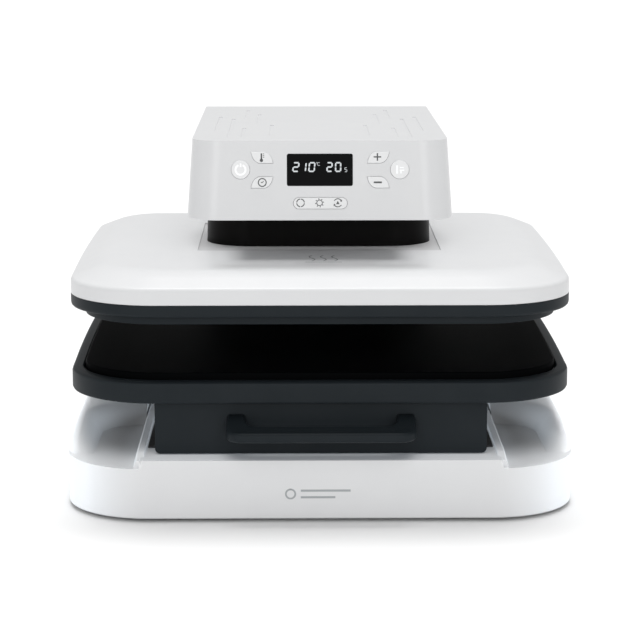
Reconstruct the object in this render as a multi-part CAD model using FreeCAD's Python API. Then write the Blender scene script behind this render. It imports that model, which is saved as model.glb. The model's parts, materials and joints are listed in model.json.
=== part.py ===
import FreeCAD, Part
import math
import os

from FreeCAD import Vector

# Desktop heat press with a pull-out drawer and a motor-driven upper platen.
# Millimetres. Origin at the centre of the overall footprint, on the table. +Z up, front faces -Y.
# The drawer is shut and the upper platen is up.

# ---------------------------------------------------------------- driving dimensions
SKIN = 3.0                    # wall of the plastic housings
SHEET = 1.5                   # steel sheet
FRAME_T = 2.0                 # folded steel of the base frame
FIT = 0.3                     # gap between bodies that pass each other

BASE_HALF_W = 221.5
BASE_FRONT, BASE_BACK = -234.0, 246.0
BASE_CORNER_R, BASE_BACK_R = 75.0, 52.0
FOOT_H = 4.0
FOOT_R = 14.0
FOOT_X, FOOT_Y = 170.0, (-185.0, 197.0)
BOSS_R, SCREW_SHANK_R, SCREW_L = 6.0, 1.9, 16.0
DECK_Z = 54.0                 # channel floor under the drawer, flush with the front lip
CHANNEL_HALF_W = 151.5
RIB_W, RIB_TOP = 8.0, 57.0    # low ribs on both sides of the drawer channel
SIDE_PROFILE = ((-234.0, 51.0), (-179.0, 49.0), (-114.0, 56.0), (-39.0, 61.0), (60.0, 64.0), (246.0, 65.0))
POCKET_FLOOR = 46.5
POCKET_X = (159.5, 197.5)
POCKET_BACK, POCKET_R = -69.0, 34.0

TRAY_HALF_W = 218.0
TRAY_FRONT, TRAY_BACK = -226.0, 201.0
TRAY_CORNER_R = 78.0
PLATEN_MIDDLE_Y = (TRAY_FRONT + TRAY_BACK) / 2
TRAY_BOTTOM, TRAY_TOP = 101.4, 120.7
TRAY_RIM_W = 10.0
TRAY_FLOOR = 110.2
PLATE_INSET = 11.5            # lower plate and pad stand inside the rim
PLATE_Z = (113.2, 118.2)
PAD_TOP = 126.2

PANEL_HALF_W = 142.5          # drawer front
PANEL_FACE_Y = -212.0
PANEL_Z = (55.0, 101.1)
PANEL_RETURN = 16.0
HANDLE_HALF_W = 81.0
HANDLE_FRONT_Y = -246.0
HANDLE_Z = (71.5, 80.3)
HANDLE_LEG_TOP = 89.5
HANDLE_BAR_D, HANDLE_LEG_W = 18.0, 17.0

SLIDE_Z = (61.0, 96.0)
SLIDE_Y = (-188.0, 192.0)
SLIDE_T = 1.2                 # steel of the slide members
SLIDE_OUTER_X = 137.0         # web of the outer member lies on the bracket here
CHASSIS_HALF_W = 124.3
CHASSIS_FLOOR = 58.5

HEAT_HALF = 190.5             # 381 mm square heating surface
HEAT_CORNER_R = 58.0
HEAT_Z = (166.3, 180.3)
GUARD_Z = (167.8, 186.0)
GUARD_INSET = 12.5
RIM_Z = (175.4, 186.2)
COVER_Z = (186.4, 211.5)
COVER_WALL_TOP, COVER_BEND_R = 199.8, 3.5
COVER_SLOPE_W, COVER_CREST_R = 29.0, 24.0
SEAT_HALF_W, SEAT_Y, SEAT_DEPTH = 110.0, (-84.0, 93.0), 1.2
INSULATION_Z = (186.0, 194.0)
CARRIER_Z = (194.5, 197.5)
POST_REACH, POST_R = 120.0, 6.0
ELEMENT_R = 3.5               # sheathed heater, bent to and fro
ELEMENT_PITCH, ELEMENT_COUNT = 60.0, 6
ELEMENT_HALF_W = 150.0

NECK_HALF_W = 103.8
NECK_Y = (-52.0, 86.0)
NECK_R = 22.0
NECK_TOP = 297.0
DRIVE_Y = 17.0                # lead screw and guide rods stand in the middle of the neck
BRIDGE_Z = (262.0, 270.0)
BRIDGE_HALF_W, BRIDGE_HALF_D = 92.0, 18.0
BUSH_R, NUT_R = 13.0, 14.0

HEAD_Z = (249.2, 317.2)
HEAD_HALF_W = (116.3, 111.9)  # bottom, top
HEAD_FRONT_Y = (-159.143, -147.0)
HEAD_BACK_R = 57.0
HEAD_CORNER_R, HEAD_BACK_CORNER_R = 28.0, 20.0
PANEL_TILT = math.degrees(math.atan2(HEAD_FRONT_Y[1] - HEAD_FRONT_Y[0], HEAD_Z[1] - HEAD_Z[0]))
VENT_W = 2.4
VENT_SLOTS = ((43, -110, -6), (56, 4, 100), (68, -115, -34), (68, 58, 144), (80, -119, 54), (93, -61, 74))

COLUMN_FRONT = 206.0
REAR_HALF_W = 92.0            # rear cover
LOUVRE_HALF_W, LOUVRE_H, LOUVRE_PITCH, LOUVRE_ROWS = 50.0, 3.0, 9.0, 7
LOUVRE_BOTTOM = 170.0
BEAM_HALF_W, BEAM_Y = 78.0, (211.0, 237.0)
BEAM_TOP = 284.0
ARM_Z = (303.0, 312.0)
ARM_HALF_W, ARM_BACK = 90.0, 200.0
ARM_RIB_W, ARM_RIB_BOTTOM = 6.0, 258.0

ROD_X, ROD_R = 75.0, 8.0
ROD_BOTTOM, SCREW_BOTTOM = 217.0, 214.0
SCREW_R, JOURNAL_R, BEARING_R = 8.0, 6.0, 13.0
RUNNING = 0.06                # radial clearance of shafts
GEAR_MODULE = 1.5
GEAR_TEETH, PINION_TEETH = 44, 10
GEAR_Z = (288.0, 298.0)
MOTOR_Y = DRIVE_Y + GEAR_MODULE * (GEAR_TEETH + PINION_TEETH) / 2
MOTOR_SHAFT_R = 4.0
MOTOR_BODY_R, MOTOR_BODY_BOTTOM = 20.0, 246.0
MOTOR_CAN_R, MOTOR_CAN_BOTTOM = 17.0, 222.0
SWITCH_X, SWITCH_Y = (-66.0, -64.0, -52.0), (50.0, 70.0)
SWITCH_HIGH_Z, SWITCH_LOW_Z = (278.0, 296.0), (228.0, 246.0)

BUTTON_PROUD = 0.9            # caps stand this far out of the control panel
BUTTON_GAP = 0.35
FLANGE_GROW = 0.9             # retaining flange behind the panel
BUTTON_TRAVEL = 0.8
ROUND_BUTTON_R = 8.0
ROUND_BUTTONS = {"power_button": (-69.0, 292.6), "start_button": (69.0, 292.6)}
LEAF_X, LEAF_Z = (40.9, 59.9), ((277.0, 286.6), (298.2, 307.8))
LEAF_BUTTONS = {              # side of the display, row
    "temperature_button": (-1, 1),
    "timer_button": (-1, 0),
    "plus_button": (1, 1),
    "minus_button": (1, 0),
}
MODE_HALF_W, MODE_X, MODE_Z = 23.3, 0.1, (259.2, 268.8)
BUTTONS = list(ROUND_BUTTONS) + list(LEAF_BUTTONS) + ["mode_button"]
LENS_X, LENS_Z = (-28.8, 28.2), (278.8, 306.2)
BOARD_DEPTH = 9.0             # control board behind the face of the panel
BOARD_T = 1.6

INLET_X, INLET_Z, INLET_HALF_W, INLET_HALF_H = -140.0, 28.0, 13.8, 10.0
INLET_FLANGE_HALF_W, INLET_FLANGE_HALF_H, INLET_FLANGE_T = 24.0, 11.5, 1.8
INLET_DEPTH, SOCKET_DEPTH = 24.0, 17.0
SOCKET_HALF_W, SOCKET_HALF_H = 11.8, 8.0
PIN_PLACES = ((-7, -3), (0, 1), (7, -3))
ROCKER_X, ROCKER_Z, ROCKER_HALF_W, ROCKER_HALF_H = -98.0, 28.0, 9.5, 6.5
ROCKER_TILT = 8.0
ROCKER_PIVOT_Y = BASE_BACK - 7
ROCKER_AXLE_R = 1.2
BEZEL_RIM = 2.0


# ---------------------------------------------------------------- shape helpers
def box(x0, x1, y0, y1, z0, z1):
    return Part.makeBox(x1 - x0, y1 - y0, z1 - z0, Vector(x0, y0, z0))


def cylinder(x, y, z0, z1, radius):
    return Part.makeCylinder(radius, z1 - z0, Vector(x, y, z0))


def rounded_wire(x0, x1, y0, y1, z, front_r, back_r):
    """Rectangle in plan with round front corners and round back corners."""
    def arc(cx, cy, radius, start):
        circle = Part.Circle(Vector(cx, cy, z), Vector(0, 0, 1), radius)
        return circle.toShape(math.radians(start), math.radians(start + 90))

    corners = (
        (x0 + front_r, y0 + front_r, front_r, 180),
        (x1 - front_r, y0 + front_r, front_r, 270),
        (x1 - back_r, y1 - back_r, back_r, 0),
        (x0 + back_r, y1 - back_r, back_r, 90),
    )
    arcs = [arc(*corner) for corner in corners]
    edges = []
    for index, edge in enumerate(arcs):
        following = arcs[(index + 1) % len(arcs)]
        edges.append(edge)
        start, end = edge.valueAt(edge.LastParameter), following.valueAt(following.FirstParameter)
        edges.append(Part.makeLine(start, end))
    return Part.Wire(edges)


def rounded_block(half_w, y0, y1, z0, z1, front_r, back_r=None):
    wire = rounded_wire(-half_w, half_w, y0, y1, z0, front_r, front_r if back_r is None else back_r)
    return Part.Face(wire).extrude(Vector(0, 0, z1 - z0))


def platen_wire(inset, z):
    """The tray, the rim and the cover share one outline, inset by the given amount."""
    half_w, radius = TRAY_HALF_W - inset, TRAY_CORNER_R - inset * 0.75
    return rounded_wire(-half_w, half_w, TRAY_FRONT + inset, TRAY_BACK - inset, z, radius, radius)


def platen_plan(inset, z0, z1):
    return Part.Face(platen_wire(inset, z0)).extrude(Vector(0, 0, z1 - z0))


def both_sides(shape):
    """The shape and its mirror image across the middle of the machine."""
    return Part.makeCompound([shape, shape.mirror(Vector(0, 0, 0), Vector(1, 0, 0))])


def fused(shapes):
    result = shapes[0].multiFuse(shapes[1:])
    return result.removeSplitter()


def edges_at(shape, z):
    return [edge for edge in shape.Edges if all(abs(vertex.Z - z) < 0.01 for vertex in edge.Vertexes)]


def extruded_polygon(points, direction):
    wire = Part.makePolygon([Vector(*point) for point in points + [points[0]]])
    return Part.Face(wire).extrude(Vector(*direction))


def on_panel(shape):
    """Place a shape drawn on the control panel: x right, y into the wall, z up the leaned-back face."""
    shape.rotate(Vector(0, 0, 0), Vector(1, 0, 0), -PANEL_TILT)
    shape.translate(Vector(0, HEAD_FRONT_Y[0], HEAD_Z[0]))
    return shape


def up_panel(z):
    """Distance up the leaned-back face for a height above the table."""
    return (z - HEAD_Z[0]) / math.cos(math.radians(PANEL_TILT))


def gear(teeth, z0, z1, phase, bore):
    """Spur gear with straight-flanked teeth; the first tooth points along the phase angle in degrees."""
    pitch = GEAR_MODULE * teeth / 2
    root, tip = pitch - 1.2 * GEAR_MODULE, pitch + 0.85 * GEAR_MODULE
    step = 2 * math.pi / teeth
    points = []
    for tooth in range(teeth):
        middle = math.radians(phase) + tooth * step
        for radius, share in ((root, -0.35), (tip, -0.13), (tip, 0.13), (root, 0.35)):
            angle = middle + share * step
            points.append((radius * math.cos(angle), radius * math.sin(angle), z0))
    body = extruded_polygon(points, (0, 0, z1 - z0))
    return body.cut(cylinder(0, 0, z0, z1, bore)) if bore else body


# ---------------------------------------------------------------- base housing
def base_plan(inset, z0, z1):
    return rounded_block(BASE_HALF_W - inset, BASE_FRONT + inset, BASE_BACK - inset, z0, z1,
                         BASE_CORNER_R - inset, BASE_BACK_R - inset)


def base_side_prism():
    """Everything under the gently rising edge of the side walls, drawn in the YZ plane."""
    curve = Part.BSplineCurve()
    curve.interpolate([Vector(-BASE_HALF_W, y, z) for y, z in SIDE_PROFILE])
    top = curve.toShape()
    first, last = SIDE_PROFILE[0], SIDE_PROFILE[-1]
    sides = Part.makePolygon([
        Vector(-BASE_HALF_W, last[0], last[1]),
        Vector(-BASE_HALF_W, last[0], FOOT_H),
        Vector(-BASE_HALF_W, first[0], FOOT_H),
        Vector(-BASE_HALF_W, first[0], first[1]),
    ])
    return Part.Face(Part.Wire([top] + sides.Edges)).extrude(Vector(2 * BASE_HALF_W, 0, 0))


def base_shell():
    rib_outer = CHANNEL_HALF_W + RIB_W
    under_deck = box(-rib_outer, rib_outer, BASE_FRONT, BASE_BACK, FOOT_H, DECK_Z)
    rib = box(CHANNEL_HALF_W, rib_outer, BASE_FRONT + 6, BASE_BACK, DECK_Z - 10, RIB_TOP)
    outer = fused([base_side_prism().common(base_plan(0, FOOT_H, 70)),
                   under_deck.common(base_plan(0, FOOT_H, 70))])
    outer = outer.cut(box(-rib_outer, rib_outer, BASE_FRONT - 1, BASE_BACK + 1, DECK_Z, 80))
    outer = fused([outer, both_sides(rib.common(base_plan(5, FOOT_H, 70)))])
    pocket = box(POCKET_X[0], POCKET_X[1], BASE_FRONT - 1, POCKET_BACK, POCKET_FLOOR, 80)
    corner = [edge for edge in pocket.Edges
              if all(abs(v.X - POCKET_X[1]) < 0.01 and abs(v.Y - POCKET_BACK) < 0.01 for v in edge.Vertexes)]
    outer = outer.cut(both_sides(pocket.makeFillet(POCKET_R, corner)))
    low_room = base_plan(SKIN, FOOT_H - 1, POCKET_FLOOR - SKIN)
    deck_room = box(-CHANNEL_HALF_W + SKIN, CHANNEL_HALF_W - SKIN, BASE_FRONT + SKIN, BASE_BACK - SKIN,
                    FOOT_H, DECK_Z - SKIN)
    side_room = box(POCKET_X[0] + SKIN, BASE_HALF_W - SKIN, POCKET_BACK + 10, BASE_BACK - BASE_BACK_R,
                    FOOT_H, 56.0)
    shell = outer.cut(fused([low_room, deck_room]))
    shell = shell.cut(both_sides(side_room))
    bosses = [cylinder(FOOT_X, y, FOOT_H + SHEET, 70, BOSS_R) for y in FOOT_Y]
    bores = [cylinder(FOOT_X, y, FOOT_H, FOOT_H + SCREW_L, SCREW_SHANK_R) for y in FOOT_Y]
    shell = fused([shell, both_sides(Part.makeCompound(bosses)).common(outer)])
    shell = shell.cut(both_sides(Part.makeCompound(bores)))
    beam_hole = box(-BEAM_HALF_W - 2, BEAM_HALF_W + 2, BEAM_Y[0] - 2, BEAM_Y[1] + 2, DECK_Z - 5, DECK_Z + 5)
    shell = shell.cut(beam_hole)
    return shell.cut(fused([inlet_hole(), rocker_hole()]))


def inlet_hole():
    """Hole in the back wall for the mains inlet, with a shallow seat for its flange."""
    hole = box(INLET_X - INLET_HALF_W, INLET_X + INLET_HALF_W, BASE_BACK - 10, BASE_BACK + 1,
               INLET_Z - INLET_HALF_H, INLET_Z + INLET_HALF_H)
    seat = box(INLET_X - INLET_FLANGE_HALF_W, INLET_X + INLET_FLANGE_HALF_W,
               BASE_BACK - INLET_FLANGE_T, BASE_BACK + 1,
               INLET_Z - INLET_FLANGE_HALF_H, INLET_Z + INLET_FLANGE_HALF_H)
    return fused([hole, seat])


def rocker_hole():
    half_w, half_h = ROCKER_HALF_W + BEZEL_RIM, ROCKER_HALF_H + BEZEL_RIM
    return box(ROCKER_X - half_w, ROCKER_X + half_w, BASE_BACK - 10, BASE_BACK + 1,
               ROCKER_Z - half_h, ROCKER_Z + half_h)


def base_bottom_plate():
    plate = base_plan(SKIN + FIT, FOOT_H, FOOT_H + SHEET)
    holes = [cylinder(FOOT_X, y, FOOT_H, FOOT_H + SHEET, SCREW_SHANK_R) for y in FOOT_Y]
    return plate.cut(both_sides(Part.makeCompound(holes)))


def rubber_feet():
    feet = []
    for y in FOOT_Y:
        foot = cylinder(FOOT_X, y, 0, FOOT_H, FOOT_R)
        foot = foot.makeFillet(1.2, edges_at(foot, 0))
        foot = foot.cut(cylinder(FOOT_X, y, 0, FOOT_H - 1.5, 4.5))
        feet.append(foot.cut(cylinder(FOOT_X, y, 0, FOOT_H, SCREW_SHANK_R)))
    return both_sides(Part.makeCompound(feet))


def base_screws():
    """Screws through the feet and the bottom plate into the bosses, heads up inside the feet."""
    screws = []
    for y in FOOT_Y:
        head = cylinder(FOOT_X, y, FOOT_H - 3.2, FOOT_H - 1.5, 3.8)
        shank = cylinder(FOOT_X, y, FOOT_H - 1.6, FOOT_H + SCREW_L, SCREW_SHANK_R)
        screws.append(fused([head, shank]))
    return both_sides(Part.makeCompound(screws))


def base_frame():
    """Folded steel tray inside the base; its flanges stand under the slide brackets, its tail under the beam."""
    z0 = FOOT_H + SHEET + 0.5
    half_w = SLIDE_OUTER_X + 3
    top = DECK_Z - SKIN - FIT
    floor = box(-half_w, half_w, -150, 200, z0, z0 + FRAME_T)
    tail = box(-BEAM_HALF_W - 2, BEAM_HALF_W + 2, 199, 240, z0, z0 + FRAME_T)
    flange = box(half_w - FRAME_T, half_w, -150, 200, z0, top)
    return fused([floor, tail, flange, flange.mirror(Vector(0, 0, 0), Vector(1, 0, 0))])


def column_beam():
    z0 = FOOT_H + SHEET + 0.5 + FRAME_T
    outer = box(-BEAM_HALF_W, BEAM_HALF_W, BEAM_Y[0], BEAM_Y[1], z0, BEAM_TOP)
    room = box(-BEAM_HALF_W + SKIN, BEAM_HALF_W - SKIN, BEAM_Y[0] + SKIN, BEAM_Y[1] - SKIN, z0, BEAM_TOP)
    return outer.cut(room)


def arm_frame():
    """Thick plate over the drive on two deep ribs that clasp the top of the column beam."""
    plate = box(-ARM_HALF_W, ARM_HALF_W, NECK_Y[0] + 6, ARM_BACK, ARM_Z[0], ARM_Z[1])
    front, back = NECK_Y[1] + 6, BEAM_Y[1]
    rib = extruded_polygon([(BEAM_HALF_W, front, ARM_RIB_BOTTOM), (BEAM_HALF_W, back, ARM_RIB_BOTTOM),
                            (BEAM_HALF_W, back, BEAM_TOP), (BEAM_HALF_W, ARM_BACK, ARM_Z[0]),
                            (BEAM_HALF_W, front, ARM_Z[0])], (ARM_RIB_W, 0, 0))
    frame = fused([plate, rib, rib.mirror(Vector(0, 0, 0), Vector(1, 0, 0))])
    holes = [cylinder(0, DRIVE_Y, ARM_Z[0], ARM_Z[1], BEARING_R)]
    holes += [cylinder(side * ROD_X, DRIVE_Y, ARM_Z[0], ARM_Z[1], ROD_R) for side in (-1, 1)]
    return frame.cut(Part.makeCompound(holes))


# ---------------------------------------------------------------- drawer slides
def channel_section(web_x, flange_x, z0, z1):
    """Slide member: a web and two flanges; the flanges run from the web towards flange_x."""
    step = SLIDE_T if flange_x > web_x else -SLIDE_T
    low, high = sorted((web_x, web_x + step))
    web = box(low, high, SLIDE_Y[0], SLIDE_Y[1], z0, z1)
    low, high = sorted((web_x, flange_x))
    bottom = box(low, high, SLIDE_Y[0], SLIDE_Y[1], z0, z0 + SLIDE_T)
    top = box(low, high, SLIDE_Y[0], SLIDE_Y[1], z1 - SLIDE_T, z1)
    return fused([web, bottom, top])


def slide_brackets():
    upright = box(SLIDE_OUTER_X, SLIDE_OUTER_X + 2.5, SLIDE_Y[0], SLIDE_Y[1], DECK_Z, SLIDE_Z[1])
    foot = box(SLIDE_OUTER_X, SLIDE_OUTER_X + 13, SLIDE_Y[0], SLIDE_Y[1], DECK_Z, DECK_Z + SHEET)
    return both_sides(fused([upright, foot]))


def slide_outer_members():
    return both_sides(channel_section(SLIDE_OUTER_X, SLIDE_OUTER_X - 11, SLIDE_Z[0], SLIDE_Z[1]))


def slide_middle_members():
    return both_sides(channel_section(SLIDE_OUTER_X - 3.3, SLIDE_OUTER_X - 10.5,
                                      SLIDE_Z[0] + 3, SLIDE_Z[1] - 3))


def slide_inner_members():
    return both_sides(channel_section(CHASSIS_HALF_W, CHASSIS_HALF_W + 6.7, SLIDE_Z[0] + 6, SLIDE_Z[1] - 6))


# ---------------------------------------------------------------- drawer
def drawer_front():
    face = box(-PANEL_HALF_W, PANEL_HALF_W, PANEL_FACE_Y, PANEL_FACE_Y + PANEL_RETURN, PANEL_Z[0], PANEL_Z[1])
    lower_corners = [edge for edge in face.Edges
                     if all(abs(v.Z - PANEL_Z[0]) < 0.01 for v in edge.Vertexes)
                     and abs(edge.Vertexes[0].X - edge.Vertexes[1].X) < 0.01]
    face = face.makeFillet(4.0, lower_corners)
    hollow = box(-PANEL_HALF_W + SKIN, PANEL_HALF_W - SKIN, PANEL_FACE_Y + SKIN, PANEL_FACE_Y + PANEL_RETURN,
                 PANEL_Z[0] + SKIN, PANEL_Z[1] + 1)
    face = face.cut(hollow)
    holes = [handle_screw_bore(side, 2.1) for side in (-1, 1)]
    return face.cut(Part.makeCompound(holes))


def handle_screw_bore(side, radius):
    start = Vector(side * (HANDLE_HALF_W - HANDLE_LEG_W / 2), PANEL_FACE_Y + SKIN, sum(HANDLE_Z) / 2)
    return Part.makeCylinder(radius, SKIN + 10, start, Vector(0, -1, 0))


def handle():
    """Bow pull: a bar in front of the panel on two deeper legs."""
    bar_back = HANDLE_FRONT_Y + HANDLE_BAR_D
    z0, z1 = HANDLE_Z
    profile = [(-HANDLE_HALF_W, HANDLE_FRONT_Y, z0), (-HANDLE_HALF_W, HANDLE_FRONT_Y, z1),
               (-HANDLE_HALF_W, bar_back, z1 + 4), (-HANDLE_HALF_W, PANEL_FACE_Y, HANDLE_LEG_TOP),
               (-HANDLE_HALF_W, PANEL_FACE_Y, z0)]
    body = extruded_polygon(profile, (2 * HANDLE_HALF_W, 0, 0))
    inner = HANDLE_HALF_W - HANDLE_LEG_W
    body = body.cut(box(-inner, inner, bar_back, PANEL_FACE_Y + 1, z0 - 1, HANDLE_LEG_TOP + 1))
    plan = rounded_block(HANDLE_HALF_W, HANDLE_FRONT_Y, PANEL_FACE_Y + 40, z0 - 1, HANDLE_LEG_TOP + 1, 12.0)
    body = body.common(plan)
    return body.cut(Part.makeCompound([handle_screw_bore(side, 2.0) for side in (-1, 1)]))


def handle_screws():
    screws = []
    for side in (-1, 1):
        x, z = side * (HANDLE_HALF_W - HANDLE_LEG_W / 2), sum(HANDLE_Z) / 2
        head = Part.makeCylinder(4.0, 2.4, Vector(x, PANEL_FACE_Y + SKIN, z), Vector(0, 1, 0))
        screws.append(fused([head, handle_screw_bore(side, 2.0)]))
    return Part.makeCompound(screws)


def drawer_chassis():
    """Folded steel trough that hangs the tray between the two slides."""
    half_w, y0, y1 = CHASSIS_HALF_W, PANEL_FACE_Y + 2 * SKIN, TRAY_BACK - TRAY_RIM_W - 1
    trough = box(-half_w, half_w, y0, y1, CHASSIS_FLOOR, TRAY_FLOOR)
    room = box(-half_w + SHEET, half_w - SHEET, y0 + SHEET, y1 - SHEET, CHASSIS_FLOOR + SHEET, TRAY_FLOOR + 1)
    lip = box(half_w - 20, half_w, y0, y1, TRAY_FLOOR - SHEET, TRAY_FLOOR)
    return fused([trough.cut(room), lip, lip.mirror(Vector(0, 0, 0), Vector(1, 0, 0))])


def tray():
    body = platen_plan(0, TRAY_BOTTOM, TRAY_TOP)
    body = body.makeFillet(3.0, edges_at(body, TRAY_TOP) + edges_at(body, TRAY_BOTTOM))
    body = body.cut(platen_plan(TRAY_RIM_W, TRAY_FLOOR + SKIN, TRAY_TOP + 1))
    return body.cut(platen_plan(TRAY_RIM_W, TRAY_BOTTOM - 1, TRAY_FLOOR))


def lower_plate():
    return platen_plan(PLATE_INSET, PLATE_Z[0], PLATE_Z[1])


def silicone_pad():
    pad = platen_plan(PLATE_INSET, PLATE_Z[1], PAD_TOP)
    return pad.makeFillet(1.5, edges_at(pad, PAD_TOP))


# ---------------------------------------------------------------- upper platen
def heat_square(half, z0, z1):
    return rounded_block(half, PLATEN_MIDDLE_Y - half, PLATEN_MIDDLE_Y + half, z0, z1,
                         HEAT_CORNER_R + half - HEAT_HALF)


def element_tube(radius):
    """Sheathed heater bent to and fro: straight rows joined by half turns."""
    turn_r = ELEMENT_PITCH / 2
    first = PLATEN_MIDDLE_Y - ELEMENT_PITCH * (ELEMENT_COUNT - 1) / 2
    pieces = []
    for index in range(ELEMENT_COUNT):
        row = first + index * ELEMENT_PITCH
        start = Vector(-ELEMENT_HALF_W, row, HEAT_Z[1])
        pieces.append(Part.makeCylinder(radius, 2 * ELEMENT_HALF_W, start, Vector(1, 0, 0)))
        if index + 1 < ELEMENT_COUNT:
            side = 1 if index % 2 == 0 else -1
            centre = Vector(side * ELEMENT_HALF_W, row + turn_r, HEAT_Z[1])
            turn = Part.makeTorus(turn_r, radius, centre, Vector(0, 0, 1), 0, 360, 180)
            turn.rotate(centre, Vector(0, 0, 1), -90 if side > 0 else 90)
            pieces.append(turn)
    return fused(pieces)


def heat_plate():
    return heat_square(HEAT_HALF, HEAT_Z[0], HEAT_Z[1]).cut(element_tube(ELEMENT_R))


def heating_element():
    return element_tube(ELEMENT_R)


def heat_guard():
    ring = platen_plan(GUARD_INSET, GUARD_Z[0], GUARD_Z[1])
    return ring.cut(heat_square(HEAT_HALF + 2, GUARD_Z[0] - 1, GUARD_Z[1] + 1))


def platen_rim():
    outer = platen_plan(0, RIM_Z[0], RIM_Z[1])
    outer = outer.makeFillet(3.0, edges_at(outer, RIM_Z[0]))
    outer = outer.cut(platen_plan(GUARD_INSET, RIM_Z[0] - 1, RIM_Z[1] + 1))
    return outer.cut(platen_plan(SKIN, RIM_Z[0] + SKIN, RIM_Z[1] + 1))


def insulation_board():
    board = heat_square(HEAT_HALF - 3, INSULATION_Z[0], INSULATION_Z[1])
    holes = [cylinder(x, y, INSULATION_Z[0], INSULATION_Z[1], POST_R + 0.5) for x, y in carrier_posts()]
    return board.cut(Part.makeCompound(holes))


def carrier_posts():
    rows = [PLATEN_MIDDLE_Y + y for y in (-POST_REACH, 0.0, POST_REACH)]
    return [(x, y) for x in (-POST_REACH, POST_REACH) for y in rows]


def carrier_plate():
    plate = heat_square(HEAT_HALF - 8, CARRIER_Z[0], CARRIER_Z[1])
    posts = [cylinder(x, y, HEAT_Z[1], CARRIER_Z[0] + 1, POST_R) for x, y in carrier_posts()]
    return fused([plate] + posts)


def neck_block(inset, z0, z1):
    return rounded_block(NECK_HALF_W - inset, NECK_Y[0] + inset, NECK_Y[1] - inset, z0, z1, NECK_R - inset)


def cover_block(inset, bottom, wall_top, top):
    """Upright wall under a slope that rises all round to the flat top."""
    wall = platen_plan(inset, bottom, wall_top)
    slope = Part.makeLoft([platen_wire(inset, wall_top), platen_wire(COVER_SLOPE_W + inset / 4, top)], True, True)
    return fused([wall, slope])


def platen_cover():
    outer = cover_block(0, COVER_Z[0], COVER_WALL_TOP, COVER_Z[1])
    outer = outer.makeFillet(COVER_CREST_R, edges_at(outer, COVER_Z[1]))
    outer = outer.makeFillet(COVER_BEND_R, edges_at(outer, COVER_WALL_TOP))
    room = cover_block(SKIN, COVER_Z[0] - 1, COVER_WALL_TOP - 2, COVER_Z[1] - SKIN)
    seat = box(-SEAT_HALF_W, SEAT_HALF_W, SEAT_Y[0], SEAT_Y[1], COVER_Z[1] - SEAT_DEPTH, COVER_Z[1] + 1)
    return outer.cut(room).cut(seat).cut(neck_block(-FIT, COVER_Z[0], COVER_Z[1] + 1))


def neck_sleeve():
    return neck_block(0, CARRIER_Z[1], NECK_TOP).cut(neck_block(SKIN, CARRIER_Z[1], NECK_TOP))


def lift_bridge():
    """Steel bridge on the carrier plate; it holds the nut and the bushes high inside the neck."""
    y0, y1 = DRIVE_Y - BRIDGE_HALF_D, DRIVE_Y + BRIDGE_HALF_D
    top = box(-BRIDGE_HALF_W, BRIDGE_HALF_W, y0, y1, BRIDGE_Z[0], BRIDGE_Z[1])
    leg = box(48, 56, y0, y1, CARRIER_Z[1], BRIDGE_Z[0] + 1)
    bridge = fused([top, leg, leg.mirror(Vector(0, 0, 0), Vector(1, 0, 0))])
    holes = [cylinder(0, DRIVE_Y, BRIDGE_Z[0], BRIDGE_Z[1], NUT_R)]
    holes += [cylinder(side * ROD_X, DRIVE_Y, BRIDGE_Z[0], BRIDGE_Z[1], BUSH_R) for side in (-1, 1)]
    return bridge.cut(Part.makeCompound(holes))


def lead_nut():
    body = cylinder(0, DRIVE_Y, BRIDGE_Z[0] - 14, BRIDGE_Z[1] + 5, NUT_R)
    flange = cylinder(0, DRIVE_Y, BRIDGE_Z[1], BRIDGE_Z[1] + 5, NUT_R + 4)
    return fused([body, flange]).cut(cylinder(0, DRIVE_Y, CARRIER_Z[1], NECK_TOP, SCREW_R + RUNNING))


def guide_bushes():
    bushes = []
    for side in (-1, 1):
        bush = cylinder(side * ROD_X, DRIVE_Y, BRIDGE_Z[0] - 10, BRIDGE_Z[1] + 10, BUSH_R)
        bushes.append(bush.cut(cylinder(side * ROD_X, DRIVE_Y, CARRIER_Z[1], NECK_TOP, ROD_R + RUNNING)))
    return Part.makeCompound(bushes)


def temperature_sensor():
    """Probe and its clip on top of the heat plate."""
    half_w, half_d, height = 8.0, 6.0, 4.0
    body = box(-half_w, half_w, PLATEN_MIDDLE_Y - half_d, PLATEN_MIDDLE_Y + half_d,
               HEAT_Z[1], HEAT_Z[1] + height)
    start = Vector(half_w, PLATEN_MIDDLE_Y, HEAT_Z[1] + height / 2)
    return fused([body, Part.makeCylinder(1.6, 10, start, Vector(1, 0, 0))])


def thermal_cutoff():
    """Snap-action disc thermostat with two tabs."""
    x, top = -60.0, HEAT_Z[1] + 4.0
    can = cylinder(x, PLATEN_MIDDLE_Y, HEAT_Z[1], top, 9.0)
    tabs = box(x - 3, x + 3, PLATEN_MIDDLE_Y - 12, PLATEN_MIDDLE_Y + 12, top, top + 1)
    return fused([can, tabs])


# ---------------------------------------------------------------- drive
def guide_rods():
    rods = [cylinder(side * ROD_X, DRIVE_Y, ROD_BOTTOM, ARM_Z[1], ROD_R) for side in (-1, 1)]
    return Part.makeCompound(rods)


def lead_screw():
    thread = cylinder(0, DRIVE_Y, SCREW_BOTTOM, GEAR_Z[0] - 2, SCREW_R)
    journal = cylinder(0, DRIVE_Y, GEAR_Z[0] - 3, ARM_Z[1], JOURNAL_R)
    return fused([thread, journal])


def screw_gear():
    wheel = gear(GEAR_TEETH, GEAR_Z[0], GEAR_Z[1], 90.0, JOURNAL_R)
    wheel.translate(Vector(0, DRIVE_Y, 0))
    return wheel


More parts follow.
